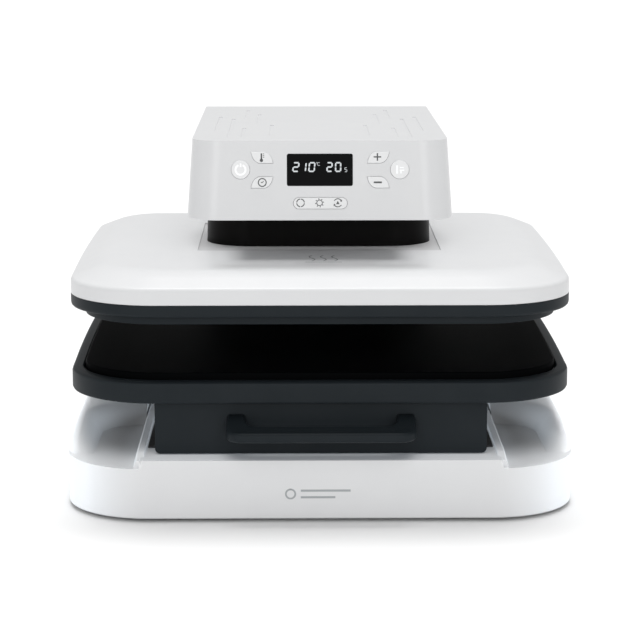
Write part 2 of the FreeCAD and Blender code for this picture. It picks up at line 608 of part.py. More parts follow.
def motor_pinion():
    """Pinion on the gearmotor's shaft, with a tooth gap towards the wheel."""
    wheel = gear(PINION_TEETH, GEAR_Z[0], GEAR_Z[1], -90.0 + 180.0 / PINION_TEETH, 0)
    shaft = cylinder(0, 0, GEAR_Z[0] - 12, GEAR_Z[1] + 1, MOTOR_SHAFT_R)
    pinion = fused([wheel, shaft])
    pinion.translate(Vector(0, MOTOR_Y, 0))
    return pinion


def screw_bearing():
    ring = cylinder(0, DRIVE_Y, ARM_Z[0], ARM_Z[1] - 1, BEARING_R)
    return ring.cut(cylinder(0, DRIVE_Y, ARM_Z[0], ARM_Z[1], JOURNAL_R + RUNNING))


def motor_bracket():
    plate = box(-30, 30, MOTOR_Y - 20, MOTOR_Y + 20, GEAR_Z[0] - 5, GEAR_Z[0] - 2)
    leg = box(27, 30, MOTOR_Y - 11, MOTOR_Y + 20, GEAR_Z[0] - 3, ARM_Z[0])
    bracket = fused([plate, leg, leg.mirror(Vector(0, 0, 0), Vector(1, 0, 0))])
    return bracket.cut(cylinder(0, MOTOR_Y, GEAR_Z[0] - 6, GEAR_Z[0], MOTOR_SHAFT_R + 2))


def gearmotor():
    """Gearbox under the bracket and the motor can under it, bored for the pinion's shaft."""
    body = cylinder(0, MOTOR_Y, MOTOR_BODY_BOTTOM, GEAR_Z[0] - 5, MOTOR_BODY_R)
    can = cylinder(0, MOTOR_Y, MOTOR_CAN_BOTTOM, MOTOR_BODY_BOTTOM + 1, MOTOR_CAN_R)
    bore = cylinder(0, MOTOR_Y, GEAR_Z[0] - 12, GEAR_Z[0], MOTOR_SHAFT_R + RUNNING)
    return fused([body, can]).cut(bore)


def limit_switches():
    """Upper and lower end switches on one strip behind the bridge."""
    back, face, front = SWITCH_X
    strip = box(back, face, SWITCH_Y[0], SWITCH_Y[1], SWITCH_LOW_Z[0] - 2, ARM_Z[0])
    switches = [box(face, front, SWITCH_Y[0], SWITCH_Y[1], low, high)
                for low, high in (SWITCH_HIGH_Z, SWITCH_LOW_Z)]
    return fused([strip] + switches)


# ---------------------------------------------------------------- head and column
def head_block(inset, below=0.0):
    """Head outline: it narrows and leans back towards the top, and its back edge is round."""
    wires = []
    lean = (HEAD_FRONT_Y[1] - HEAD_FRONT_Y[0]) / (HEAD_Z[1] - HEAD_Z[0])
    draft = (HEAD_HALF_W[1] - HEAD_HALF_W[0]) / (HEAD_Z[1] - HEAD_Z[0])
    for z in (HEAD_Z[0] - below, HEAD_Z[1] - inset):
        half_w = HEAD_HALF_W[0] + draft * (z - HEAD_Z[0]) - inset
        front = HEAD_FRONT_Y[0] + lean * (z - HEAD_Z[0]) + inset
        wires.append(rounded_wire(-half_w, half_w, front, BASE_BACK - inset, z,
                                  HEAD_CORNER_R - inset, HEAD_BACK_CORNER_R - inset))
    block = Part.makeLoft(wires, True, True)
    return block.cut(head_back_corner(inset))


def head_back_corner(inset):
    """What the round back edge takes away from the block."""
    y, z, r = BASE_BACK - inset, HEAD_Z[1] - inset, HEAD_BACK_R - inset
    corner = box(-150, 150, y - r, y + 20, z - r, z + 20)
    return corner.cut(Part.makeCylinder(r, 300, Vector(-150, y - r, z - r), Vector(1, 0, 0)))


def vent_slots():
    """Long slots in the head's top, staggered from row to row."""
    slots = [box(x - VENT_W / 2, x + VENT_W / 2, start, end, HEAD_Z[1] - SKIN - 1, HEAD_Z[1] + 1)
             for x, start, end in VENT_SLOTS]
    return both_sides(Part.makeCompound(slots))


def leaf_face(side, row, grow):
    """Leaf outline: a sharp outer corner and the sharp inner one across from it, joined by bowed edges."""
    x_in, x_out = side * (LEAF_X[0] - grow), side * (LEAF_X[1] + grow)
    low, high = up_panel(LEAF_Z[row][0]) - grow, up_panel(LEAF_Z[row][1]) + grow
    width = abs(x_out - x_in)
    sweep = 0.62 * width
    # sharp corners: outer-top and inner-bottom on the upper row, mirrored on the lower one
    if row == 1:
        a, b = Vector(x_out, 0, high), Vector(x_in, 0, low)
        ctrl_1, ctrl_2 = Vector(x_in, 0, high), Vector(x_out, 0, low)
    else:
        a, b = Vector(x_out, 0, low), Vector(x_in, 0, high)
        ctrl_1, ctrl_2 = Vector(x_in, 0, low), Vector(x_out, 0, high)
    step = side * sweep
    edges = []
    for start, end, corner, direction in ((a, b, ctrl_1, -step), (b, a, ctrl_2, step)):
        knee = Vector(start.x + direction, 0, start.z)
        edges.append(Part.makeLine(start, knee))
        curve = Part.BezierCurve()
        curve.setPoles([knee, corner, end])
        edges.append(curve.toShape())
    return Part.Face(Part.Wire(edges))


def pill_face(x, half_w, low, high, grow):
    radius = (high - low) / 2 + grow
    middle, reach = (high + low) / 2, half_w + grow - radius
    right = Part.Arc(Vector(x + reach, 0, middle - radius), Vector(x + reach + radius, 0, middle),
                     Vector(x + reach, 0, middle + radius)).toShape()
    left = Part.Arc(Vector(x - reach, 0, middle + radius), Vector(x - reach - radius, 0, middle),
                    Vector(x - reach, 0, middle - radius)).toShape()
    top = Part.makeLine(Vector(x + reach, 0, middle + radius), Vector(x - reach, 0, middle + radius))
    bottom = Part.makeLine(Vector(x - reach, 0, middle - radius), Vector(x + reach, 0, middle - radius))
    return Part.Face(Part.Wire([right, top, left, bottom]))


def round_face(x, z, grow):
    circle = Part.Circle(Vector(x, 0, up_panel(z)), Vector(0, 1, 0), ROUND_BUTTON_R + grow)
    return Part.Face(Part.Wire([circle.toShape()]))


def button_face(name, grow):
    if name in ROUND_BUTTONS:
        return round_face(ROUND_BUTTONS[name][0], ROUND_BUTTONS[name][1], grow)
    if name == "mode_button":
        return pill_face(MODE_X, MODE_HALF_W, up_panel(MODE_Z[0]), up_panel(MODE_Z[1]), grow)
    side, row = LEAF_BUTTONS[name]
    return leaf_face(side, row, grow)


def slab(face, y0, y1):
    """Thicken a face drawn on the control panel, from depth y0 to depth y1."""
    solid = face.extrude(Vector(0, y1 - y0, 0))
    solid.translate(Vector(0, y0, 0))
    return solid


def button(name):
    """Cap through the panel with a retaining flange behind the wall."""
    cap = slab(button_face(name, 0), -BUTTON_PROUD, SKIN + 0.8)
    flange = slab(button_face(name, FLANGE_GROW), SKIN + 0.3, SKIN + 1.3)
    return on_panel(fused([cap, flange]))


def head_shell():
    shell = head_block(0).cut(head_block(SKIN, 5.0))
    cuts = [on_panel(slab(button_face(name, BUTTON_GAP), -5, SKIN + 2)) for name in BUTTONS]
    lens_hole = box(LENS_X[0] - 0.1, LENS_X[1] + 0.1, -5, SKIN + 2,
                    up_panel(LENS_Z[0]) - 0.1, up_panel(LENS_Z[1]) + 0.1)
    cuts.append(on_panel(lens_hole))
    return shell.cut(Part.makeCompound(cuts)).cut(vent_slots())


def display_lens():
    return on_panel(box(LENS_X[0], LENS_X[1], 0.1, 1.9, up_panel(LENS_Z[0]), up_panel(LENS_Z[1])))


def display_module():
    return on_panel(box(LENS_X[0] + 1, LENS_X[1] - 1, 2.0, BOARD_DEPTH - 0.1,
                        up_panel(LENS_Z[0]) + 1, up_panel(LENS_Z[1]) - 1))


def control_board():
    """Board behind the panel with two chips and a buzzer."""
    board = box(-88, 88, BOARD_DEPTH, BOARD_DEPTH + BOARD_T, 5, 61)
    back = BOARD_DEPTH + BOARD_T
    chips = [box(-40, -24, back, back + 2.4, 20, 36), box(30, 44, back, back + 7.4, 12, 26)]
    buzzer = Part.makeCylinder(6, 7, Vector(0, BOARD_DEPTH + 1, 28), Vector(0, 1, 0))
    return on_panel(fused([board, buzzer] + chips))


def tact_switches():
    switches = []
    for name in BUTTONS:
        centre = button_face(name, 0).CenterOfMass
        x, z = centre.x, centre.z
        front = SKIN + 1.3 + BUTTON_TRAVEL + 0.2
        switches.append(on_panel(box(x - 3, x + 3, front, BOARD_DEPTH, z - 3, z + 3)))
    return Part.makeCompound(switches)


def power_board():
    """Mains board on posts at the bottom of the head: relay, transformer and a capacitor."""
    floor = HEAD_Z[0] + SKIN
    low, high = floor + 6, floor + 6 + BOARD_T
    board = box(-75, 75, -132, -62, low, high)
    posts = [cylinder(x, y, floor, low + 0.5, 3.5) for x in (-68, 68) for y in (-125, -69)]
    transformer = box(-60, -25, -125, -90, low + 1, floor + 33)
    relay = box(5, 34, -120, -104, low + 1, floor + 23)
    capacitor = cylinder(55, -90, low + 1, floor + 30, 9)
    return fused([board] + posts + [transformer, relay, capacitor])


def head_bottom_cover():
    half_w = HEAD_HALF_W[0] - SKIN - 0.6
    plate = rounded_block(half_w, HEAD_FRONT_Y[0] + SKIN + 1, COLUMN_FRONT, HEAD_Z[0], HEAD_Z[0] + SKIN,
                          HEAD_CORNER_R - SKIN - 1, 2.0)
    return plate.cut(neck_block(-1.0, HEAD_Z[0], HEAD_Z[0] + SKIN))


def column_plan(inset, z0, z1):
    return rounded_block(HEAD_HALF_W[0] - inset, COLUMN_FRONT + inset, BASE_BACK - inset, z0, z1,
                         10.0 - inset, HEAD_BACK_CORNER_R - inset)


def column_cover():
    shell = column_plan(0, DECK_Z, HEAD_Z[0]).cut(column_plan(SKIN, DECK_Z, HEAD_Z[0]))
    window = box(-REAR_HALF_W - FIT, REAR_HALF_W + FIT, BASE_BACK - SKIN, BASE_BACK + 1, DECK_Z, HEAD_Z[0])
    shell = shell.cut(window)
    tab = box(REAR_HALF_W - 10, REAR_HALF_W + 8, BASE_BACK - 2 * SKIN, BASE_BACK - SKIN, DECK_Z, HEAD_Z[0])
    shell = fused([shell, tab, tab.mirror(Vector(0, 0, 0), Vector(1, 0, 0))])
    return shell.cut(Part.makeCompound([screw_bore(x, z, 1.5) for x, z in rear_screw_places()]))


def rear_screw_places():
    return [(side * (REAR_HALF_W - 5), z) for side in (-1, 1) for z in (64.0, 152.0, 240.0)]


def screw_bore(x, z, radius):
    return Part.makeCylinder(radius, 10, Vector(x, BASE_BACK - 10, z), Vector(0, 1, 0))


def rear_cover():
    plate = box(-REAR_HALF_W, REAR_HALF_W, BASE_BACK - SKIN, BASE_BACK, DECK_Z + FIT, HEAD_Z[0] - FIT)
    rows = [LOUVRE_BOTTOM + row * LOUVRE_PITCH for row in range(LOUVRE_ROWS)]
    louvres = [box(-LOUVRE_HALF_W, LOUVRE_HALF_W, BASE_BACK - SKIN - 1, BASE_BACK + 1, z, z + LOUVRE_H)
               for z in rows]
    plate = plate.cut(Part.makeCompound(louvres))
    sinks = [Part.makeCylinder(3.6, 2, Vector(x, BASE_BACK - 1.9, z), Vector(0, 1, 0))
             for x, z in rear_screw_places()]
    bores = [screw_bore(x, z, 1.6) for x, z in rear_screw_places()]
    return plate.cut(Part.makeCompound(sinks)).cut(Part.makeCompound(bores))


def rear_screws():
    screws = []
    for x, z in rear_screw_places():
        head = Part.makeCylinder(3.2, 1.7, Vector(x, BASE_BACK - 1.9, z), Vector(0, 1, 0))
        shank = Part.makeCylinder(1.5, 8.1, Vector(x, BASE_BACK - 10, z), Vector(0, 1, 0))
        screws.append(fused([head, shank]))
    return Part.makeCompound(screws)


# ---------------------------------------------------------------- mains inlet and switch
def power_inlet():
    """Three-pin appliance inlet: flange, shrouded socket and pins."""
    def block(half_w, half_h, depth, proud=0.0):
        return box(INLET_X - half_w, INLET_X + half_w, BASE_BACK - depth, BASE_BACK + proud,
                   INLET_Z - half_h, INLET_Z + half_h)

    flange = block(INLET_FLANGE_HALF_W - 0.2, INLET_FLANGE_HALF_H - 0.2, INLET_FLANGE_T)
    body = block(INLET_HALF_W - 0.1, INLET_HALF_H - 0.1, INLET_DEPTH)
    inlet = fused([flange, body]).cut(block(SOCKET_HALF_W, SOCKET_HALF_H, SOCKET_DEPTH, 1.0))
    pins = [box(INLET_X + dx - 1, INLET_X + dx + 1, BASE_BACK - SOCKET_DEPTH - 1, BASE_BACK - 3,
                INLET_Z + dz - 2, INLET_Z + dz + 2) for dx, dz in PIN_PLACES]
    return fused([inlet] + pins)


def rocker_bezel():
    """Frame of the rocker switch, open at the front, with a bore for the rocker's axle."""
    half_w, half_h = ROCKER_HALF_W + BEZEL_RIM - 0.1, ROCKER_HALF_H + BEZEL_RIM - 0.1
    outer = box(ROCKER_X - half_w, ROCKER_X + half_w, BASE_BACK - 16, BASE_BACK,
                ROCKER_Z - half_h, ROCKER_Z + half_h)
    outer = outer.cut(box(ROCKER_X - ROCKER_HALF_W, ROCKER_X + ROCKER_HALF_W, BASE_BACK - 14, BASE_BACK + 1,
                          ROCKER_Z - ROCKER_HALF_H, ROCKER_Z + ROCKER_HALF_H))
    return outer.cut(rocker_axle(ROCKER_AXLE_R + RUNNING))


def rocker_axle(radius):
    reach = ROCKER_HALF_H + 1.5
    return cylinder(ROCKER_X, ROCKER_PIVOT_Y, ROCKER_Z - reach, ROCKER_Z + reach, radius)


def power_rocker():
    """Rocker with two faces that meet in a shallow V over its upright pivot, shown switched off."""
    half_w = ROCKER_HALF_W - 1.0
    z0, z1 = ROCKER_Z - ROCKER_HALF_H + 0.6, ROCKER_Z + ROCKER_HALF_H - 0.6
    front = BASE_BACK - 0.4
    outline = [(ROCKER_X, ROCKER_PIVOT_Y - 2, z0), (ROCKER_X + half_w, ROCKER_PIVOT_Y + 1.5, z0),
               (ROCKER_X + half_w, front - 1.6, z0), (ROCKER_X, front - 2.6, z0),
               (ROCKER_X - half_w, front - 1.6, z0), (ROCKER_X - half_w, ROCKER_PIVOT_Y + 1.5, z0)]
    rocker = extruded_polygon(outline, (0, 0, z1 - z0))
    rocker.rotate(Vector(ROCKER_X, ROCKER_PIVOT_Y, 0), Vector(0, 0, 1), -ROCKER_TILT)
    return fused([rocker, rocker_axle(ROCKER_AXLE_R)])


# ---------------------------------------------------------------- export
def main():
    os.makedirs("parts", exist_ok=True)
    nodes = {function.__name__: function for function in (
        base_shell, base_bottom_plate, rubber_feet, base_screws, base_frame, column_beam, arm_frame,
        slide_brackets, slide_outer_members, slide_middle_members, slide_inner_members,
        drawer_front, handle, handle_screws, drawer_chassis, tray, lower_plate, silicone_pad,
        heat_plate, heating_element, heat_guard, platen_rim, insulation_board, carrier_plate, platen_cover,
        neck_sleeve, lift_bridge, lead_nut, guide_bushes, temperature_sensor, thermal_cutoff,
        guide_rods, lead_screw, screw_gear, motor_pinion, screw_bearing, motor_bracket, gearmotor,
        limit_switches, head_shell, head_bottom_cover, display_lens, display_module, control_board,
        tact_switches, power_board, column_cover, rear_cover, rear_screws, power_inlet, rocker_bezel, power_rocker)}
    for name, make in nodes.items():
        make().exportStep("parts/" + name + ".step")
    for name in BUTTONS:
        button(name).exportStep("parts/" + name + ".step")


main()
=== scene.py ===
import json
import math

import bmesh
import bpy
from mathutils import Matrix, Vector

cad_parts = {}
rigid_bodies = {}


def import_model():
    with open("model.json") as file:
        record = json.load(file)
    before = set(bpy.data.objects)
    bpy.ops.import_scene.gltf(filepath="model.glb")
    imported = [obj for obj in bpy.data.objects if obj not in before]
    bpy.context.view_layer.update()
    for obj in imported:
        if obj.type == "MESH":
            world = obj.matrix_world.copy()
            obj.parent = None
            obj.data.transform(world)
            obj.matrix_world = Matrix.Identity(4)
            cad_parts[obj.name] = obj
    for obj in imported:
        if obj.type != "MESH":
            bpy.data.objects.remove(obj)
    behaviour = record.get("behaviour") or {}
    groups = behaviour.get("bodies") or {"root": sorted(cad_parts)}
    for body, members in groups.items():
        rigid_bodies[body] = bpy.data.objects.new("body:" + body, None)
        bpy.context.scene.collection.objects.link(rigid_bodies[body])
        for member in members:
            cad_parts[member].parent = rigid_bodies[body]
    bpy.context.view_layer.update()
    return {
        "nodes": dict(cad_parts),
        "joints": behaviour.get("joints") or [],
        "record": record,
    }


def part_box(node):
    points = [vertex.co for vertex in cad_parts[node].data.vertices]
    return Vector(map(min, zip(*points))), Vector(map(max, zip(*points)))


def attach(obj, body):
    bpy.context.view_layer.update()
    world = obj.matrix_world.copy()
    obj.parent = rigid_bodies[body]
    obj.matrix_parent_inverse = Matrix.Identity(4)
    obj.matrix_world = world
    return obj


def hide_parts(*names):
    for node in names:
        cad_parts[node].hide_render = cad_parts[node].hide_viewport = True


# Desktop heat press: white housings, charcoal drawer, tray and platen rim, tilted control head.
# Everything is in metres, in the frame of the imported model. MM turns millimetres into metres.

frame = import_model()
MM = 0.001
EDGE_ROLL = 9 * MM             # radius of the base's upper outer edge
ARC_STEPS = 20                 # points on each quarter circle of an outline
BOW_POINTS = 12                # points along each bowed side of the platen and the tray
SHARP = math.radians(32)       # edges steeper than this stay crisp
SAME = 1e-6                    # places closer than this, in metres, count as one
LEAF_STEPS = 15                # points on each curved edge of a leaf-shaped cap
DECK, RIB_TOP, POCKET_FLOOR = 54 * MM, 57 * MM, 46.5 * MM    # heights on the base
RIB_IN, RIB_OUT = 151.5 * MM, 159.5 * MM                     # sides of the ribs beside the drawer
NECK_GAP = 0.3 * MM            # between the neck and the opening in the cover
CAPS = ("power_button", "start_button", "temperature_button", "timer_button", "plus_button", "minus_button",
        "mode_button")
ROUND_CAPS = ("power_button", "start_button")
RIGHT_CAPS = ("start_button", "plus_button", "minus_button")
UPPER_LEAVES = ("temperature_button", "plus_button")
# Head vents in millimetres: distance from the middle, front end and back end, on both sides.
VENTS = ((43, -110, -6), (56, 4, 100), (68, -115, -34), (68, 58, 144), (80, -119, 54), (93, -61, 74))
# Bars that are lit for each digit: a is the top one, b to f follow clockwise, g is the middle one.
SEGMENTS = {"0": "abcdef", "1": "bc", "2": "abged", "5": "afgcd"}


# ---------------------------------------------------------------- camera, light, floor
def build_camera():
    camera = bpy.data.objects.new("camera", bpy.data.cameras.new("camera"))
    bpy.context.scene.collection.objects.link(camera)
    camera.data.sensor_width = 36.0
    camera.data.lens = 123.75
    camera.data.clip_end = 50.0
    camera.location = (-22.2 * MM, -2049.1 * MM, 515.5 * MM)
    camera.rotation_euler = (math.radians(90 - 10.607), 0, math.radians(-0.6655))
    bpy.context.scene.camera = camera


def sun_light(name, direction, strength, spread, colour=(1, 1, 1)):
    """Distant light that shines along the given direction, spread over an angle in degrees."""
    data = bpy.data.lights.new(name, "SUN")
    data.energy = strength
    data.angle = math.radians(spread)
    data.color = colour
    light = bpy.data.objects.new(name, data)
    light.rotation_euler = Vector(direction).to_track_quat("-Z", "Y").to_euler()
    bpy.context.scene.collection.objects.link(light)
    return light


def build_studio():
    """Bright room: even pale world, soft overhead sun from behind, low front fills and a white floor."""
    scene = bpy.context.scene
    scene.view_settings.view_transform = "Standard"
    world = bpy.data.worlds.new("studio")
    scene.world = world
    world.use_nodes = True
    background = world.node_tree.nodes["Background"]
    background.inputs["Color"].default_value = (1.0, 1.0, 1.0, 1)
    background.inputs["Strength"].default_value = 0.53
    overhead = sun_light("overhead", direction=(0.0, -0.27, -1.0), strength=2.25, spread=30)
    fills = [sun_light("front_fill", direction=(side * 0.33, 0.90, -0.29), strength=0.42, spread=25)
             for side in (-1, 1)]
    mesh = bpy.data.meshes.new("floor")
    floor_bm = bmesh.new()
    bmesh.ops.create_grid(floor_bm, x_segments=8, y_segments=8, size=40.0)
    floor_bm.to_mesh(mesh)
    floor_bm.free()
    floor = bpy.data.objects.new("floor", mesh)
    scene.collection.objects.link(floor)
    floor.data.materials.append(plain_material("floor_paper", (0.90, 0.90, 0.90), 0.9))
    return overhead, fills


def link_light(light, role, state, pieces):
    """Tie a light to some pieces (state INCLUDE) or free them of it (EXCLUDE), as its receiver or blocker."""
    group = bpy.data.collections.new(f"{light.name}_{role}")
    for piece in pieces:
        group.objects.link(piece)
    setattr(light.light_linking, role + "_collection", group)
    for entry in group.collection_objects:
        entry.light_linking.link_state = state


def light_base(base, fills):
    """The base has a steeper front light than the rest, and cool low side light in its front pockets."""
    for fill in fills:
        link_light(fill, "receiver", "EXCLUDE", [base])
    steep = sun_light("base_fill", direction=(0.0, 0.55, -0.83), strength=1.6, spread=40)
    link_light(steep, "receiver", "INCLUDE", [base])
    for side in (-1, 1):
        cool = sun_light("pocket_fill", direction=(side, -0.22, -0.15), strength=2.3, spread=40,
                         colour=(0.84, 0.92, 1.0))
        for role in ("receiver", "blocker"):
            link_light(cool, role, "INCLUDE", [base])


# ---------------------------------------------------------------- materials
def new_material(name):
    material = bpy.data.materials.new(name)
    material.use_nodes = True
    return material, material.node_tree.nodes, material.node_tree.links


def plain_material(name, colour, roughness):
    material, nodes, _ = new_material(name)
    shader = nodes["Principled BSDF"]
    shader.inputs["Base Color"].default_value = (*colour, 1)
    shader.inputs["Roughness"].default_value = roughness
    return material


def textured_material(name, dark, light, rough, mottle=40.0, grain=900.0, bump=0.02, metallic=0.0,
                      coat=0.0, specular=0.5, stretch=(1, 1, 1), bump_distance=0.0002):
    """Procedural surface: slow colour and roughness mottling, and a fine grain in the relief.

    dark and light are the two ends of the base colour, rough the two ends of the roughness,
    mottle and grain are noise scales per metre, and stretch pulls both noises along an axis.
    """
    material, nodes, links = new_material(name)
    shader = nodes["Principled BSDF"]
    place = nodes.new("ShaderNodeTexCoord")
    mapping = nodes.new("ShaderNodeMapping")
    mapping.inputs["Scale"].default_value = stretch
    links.new(place.outputs["Object"], mapping.inputs["Vector"])

    slow = nodes.new("ShaderNodeTexNoise")
    slow.inputs["Scale"].default_value = mottle
    slow.inputs["Detail"].default_value = 4.0
    links.new(mapping.outputs["Vector"], slow.inputs["Vector"])
    colours = nodes.new("ShaderNodeMix")
    colours.data_type = "RGBA"
    colours.inputs["A"].default_value = (*dark, 1)
    colours.inputs["B"].default_value = (*light, 1)
    links.new(slow.outputs["Fac"], colours.inputs["Factor"])
    links.new(colours.outputs["Result"], shader.inputs["Base Color"])

    fine = nodes.new("ShaderNodeTexNoise")
    fine.inputs["Scale"].default_value = grain
    fine.inputs["Detail"].default_value = 3.0
    links.new(mapping.outputs["Vector"], fine.inputs["Vector"])
    spread = nodes.new("ShaderNodeMapRange")
    spread.inputs["To Min"].default_value = rough[0]
    spread.inputs["To Max"].default_value = rough[1]
    links.new(fine.outputs["Fac"], spread.inputs["Value"])
    links.new(spread.outputs["Result"], shader.inputs["Roughness"])
    relief = nodes.new("ShaderNodeBump")
    relief.inputs["Strength"].default_value = bump
    relief.inputs["Distance"].default_value = bump_distance
    links.new(fine.outputs["Fac"], relief.inputs["Height"])
    links.new(relief.outputs["Normal"], shader.inputs["Normal"])

    shader.inputs["Metallic"].default_value = metallic
    shader.inputs["Coat Weight"].default_value = coat
    shader.inputs["Coat Roughness"].default_value = 0.08
    shader.inputs["Specular IOR Level"].default_value = specular
    return material


def glowing_material(name, colour, strength):
    material, nodes, links = new_material(name)
    shader = nodes["Principled BSDF"]
    place = nodes.new("ShaderNodeTexCoord")
    noise = nodes.new("ShaderNodeTexNoise")
    noise.inputs["Scale"].default_value = 300.0
    links.new(place.outputs["Object"], noise.inputs["Vector"])
    colours = nodes.new("ShaderNodeMix")
    colours.data_type = "RGBA"
    colours.inputs["A"].default_value = (*[0.94 * c for c in colour], 1)
    colours.inputs["B"].default_value = (*colour, 1)
    links.new(noise.outputs["Fac"], colours.inputs["Factor"])
    links.new(colours.outputs["Result"], shader.inputs["Emission Color"])
    links.new(colours.outputs["Result"], shader.inputs["Base Color"])
    shader.inputs["Emission Strength"].default_value = strength
    shader.inputs["Roughness"].default_value = 0.5
    return material


# Dark and light end of the base colour, both ends of the roughness, then what differs from the defaults.
SURFACES = {
    "white_shell": dict(dark=(0.66, 0.665, 0.675), light=(0.69, 0.695, 0.70), rough=(0.26, 0.34),
                        bump=0.004, specular=0.45),
    "white_gloss": dict(dark=(0.66, 0.665, 0.675), light=(0.69, 0.695, 0.70), rough=(0.30, 0.34),
                        bump=0.001, specular=0.2),
    "charcoal_plastic": dict(dark=(0.009, 0.013, 0.016), light=(0.014, 0.018, 0.021), rough=(0.42, 0.55),
                             grain=1600, bump=0.10, bump_distance=0.0003, specular=0.13),
    "neck_plastic": dict(dark=(0.003, 0.0028, 0.0026), light=(0.005, 0.0046, 0.0044), rough=(0.34, 0.44),
                         bump=0.04, specular=0.06),
    "black_plastic": dict(dark=(0.010, 0.010, 0.011), light=(0.016, 0.016, 0.017), rough=(0.4, 0.55),
                          bump=0.08, specular=0.3),
    "rocker_plastic": dict(dark=(0.010, 0.010, 0.010), light=(0.015, 0.015, 0.015), rough=(0.16, 0.24),
                           coat=0.3),
    "button_white": dict(dark=(0.75, 0.755, 0.76), light=(0.78, 0.785, 0.79), rough=(0.3, 0.38),
                         bump=0.01, specular=0.3),
    "display_lens": dict(dark=(0.004, 0.0042, 0.0045), light=(0.006, 0.0062, 0.0065), rough=(0.10, 0.14),
                         specular=0.08),
    "foot_rubber": dict(dark=(0.015, 0.015, 0.015), light=(0.03, 0.03, 0.03), rough=(0.7, 0.85),
                        bump=0.2),
    "pad_silicone": dict(dark=(0.0016, 0.0018, 0.0021), light=(0.0024, 0.0027, 0.003), rough=(0.5, 0.6),
                         grain=700, bump=0.03, specular=0.008),
    "plate_aluminium": dict(dark=(0.50, 0.51, 0.52), light=(0.62, 0.63, 0.64), rough=(0.28, 0.42),
                            metallic=1.0, stretch=(0.05, 1, 1), grain=1400, bump=0.06),
    "painted_steel": dict(dark=(0.02, 0.02, 0.022), light=(0.035, 0.035, 0.037), rough=(0.4, 0.55),
                          grain=1100, bump=0.2),
    "zinc_steel": dict(dark=(0.45, 0.46, 0.47), light=(0.62, 0.63, 0.62), rough=(0.25, 0.42), mottle=90,
                       metallic=1.0, bump=0.03),
    "screw_steel": dict(dark=(0.38, 0.38, 0.39), light=(0.55, 0.55, 0.55), rough=(0.25, 0.4),
                        metallic=1.0, bump=0.04),
    "bearing_steel": dict(dark=(0.5, 0.5, 0.5), light=(0.65, 0.65, 0.65), rough=(0.15, 0.25),
                          metallic=1.0),
    "polished_steel": dict(dark=(0.55, 0.55, 0.55), light=(0.68, 0.68, 0.68), rough=(0.10, 0.2),
                           metallic=1.0, stretch=(1, 1, 0.1)),
    "element_steel": dict(dark=(0.16, 0.14, 0.12), light=(0.36, 0.34, 0.32), rough=(0.35, 0.5),
                          metallic=1.0),
    "sensor_metal": dict(dark=(0.42, 0.42, 0.42), light=(0.58, 0.58, 0.58), rough=(0.3, 0.4),
                         metallic=1.0),
    "motor_can": dict(dark=(0.32, 0.32, 0.33), light=(0.46, 0.46, 0.47), rough=(0.3, 0.45), metallic=1.0,
                      stretch=(1, 1, 0.1)),
    "bronze": dict(dark=(0.45, 0.26, 0.10), light=(0.62, 0.40, 0.18), rough=(0.25, 0.38), metallic=1.0),
    "gear_nylon": dict(dark=(0.70, 0.68, 0.60), light=(0.78, 0.76, 0.68), rough=(0.4, 0.5)),
    "circuit_board": dict(dark=(0.015, 0.14, 0.05), light=(0.03, 0.22, 0.09), rough=(0.3, 0.4),
                          mottle=400),
    "insulation": dict(dark=(0.66, 0.62, 0.54), light=(0.80, 0.77, 0.70), rough=(0.8, 0.95), grain=500,
                       bump=0.5, bump_distance=0.0008),
    "icon_grey": dict(dark=(0.09, 0.093, 0.096), light=(0.11, 0.113, 0.116), rough=(0.4, 0.5),
                      specular=0.2),
    # Darker than the cover's white: painted shade for the seat round the neck, under the head.
    "seat_painted_shade": dict(dark=(0.56, 0.56, 0.565), light=(0.59, 0.59, 0.595), rough=(0.4, 0.5), bump=0.004,
                       specular=0.1),
    "heat_print": dict(dark=(0.15, 0.155, 0.16), light=(0.18, 0.185, 0.19), rough=(0.4, 0.5),
                       specular=0.2),
    "badge_grey": dict(dark=(0.33, 0.35, 0.36), light=(0.38, 0.40, 0.41), rough=(0.25, 0.35),
                       specular=0.4),
}
GLOWS = {                      # colour and strength of what is lit
    "display_glow": ((0.60, 0.63, 0.65), 0.12),
    "cap_light": ((0.76, 0.765, 0.77), 0.05),
    "mark_light": ((0.88, 0.89, 0.90), 0.15),
}


def build_materials():
    """One material per slot of the record, plus the seat's painted shade and those of the printed and lit
    marks.
    """
    materials = {name: textured_material(name, **look) for name, look in SURFACES.items()}
    materials.update({name: glowing_material(name, *look) for name, look in GLOWS.items()})
    return materials


# ---------------------------------------------------------------- outlines
def arc_points(cx, cy, radius, start, end, steps=ARC_STEPS):
    """Points on an arc, angles in degrees."""
    angles = [math.radians(start + (end - start) * i / steps) for i in range(steps + 1)]
    return [(cx + radius * math.cos(angle), cy + radius * math.sin(angle)) for angle in angles]


def side_points(x, start, end, count):
    """Evenly spaced points along a side, without its two ends."""
    return [(x, start + (end - start) * i / (count + 1)) for i in range(1, count + 1)]


def rectangle(x0, x1, y0, y1):
    return [(x0, y0), (x1, y0), (x1, y1), (x0, y1)]


def rounded_rectangle(x0, x1, y0, y1, front_r, back_r, steps=ARC_STEPS, sides=0):
    """Anticlockwise from the front right corner, with extra points along the two sides if asked for."""
    near, far = y0 + front_r, y1 - back_r
    points = arc_points(x1 - front_r, near, front_r, -90, 0, steps) + side_points(x1, near, far, sides)
    points += arc_points(x1 - back_r, far, back_r, 0, 90, steps)
    points += arc_points(x0 + back_r, far, back_r, 90, 180, steps) + side_points(x0, far, near, sides)
    return points + arc_points(x0 + front_r, near, front_r, 180, 270, steps)


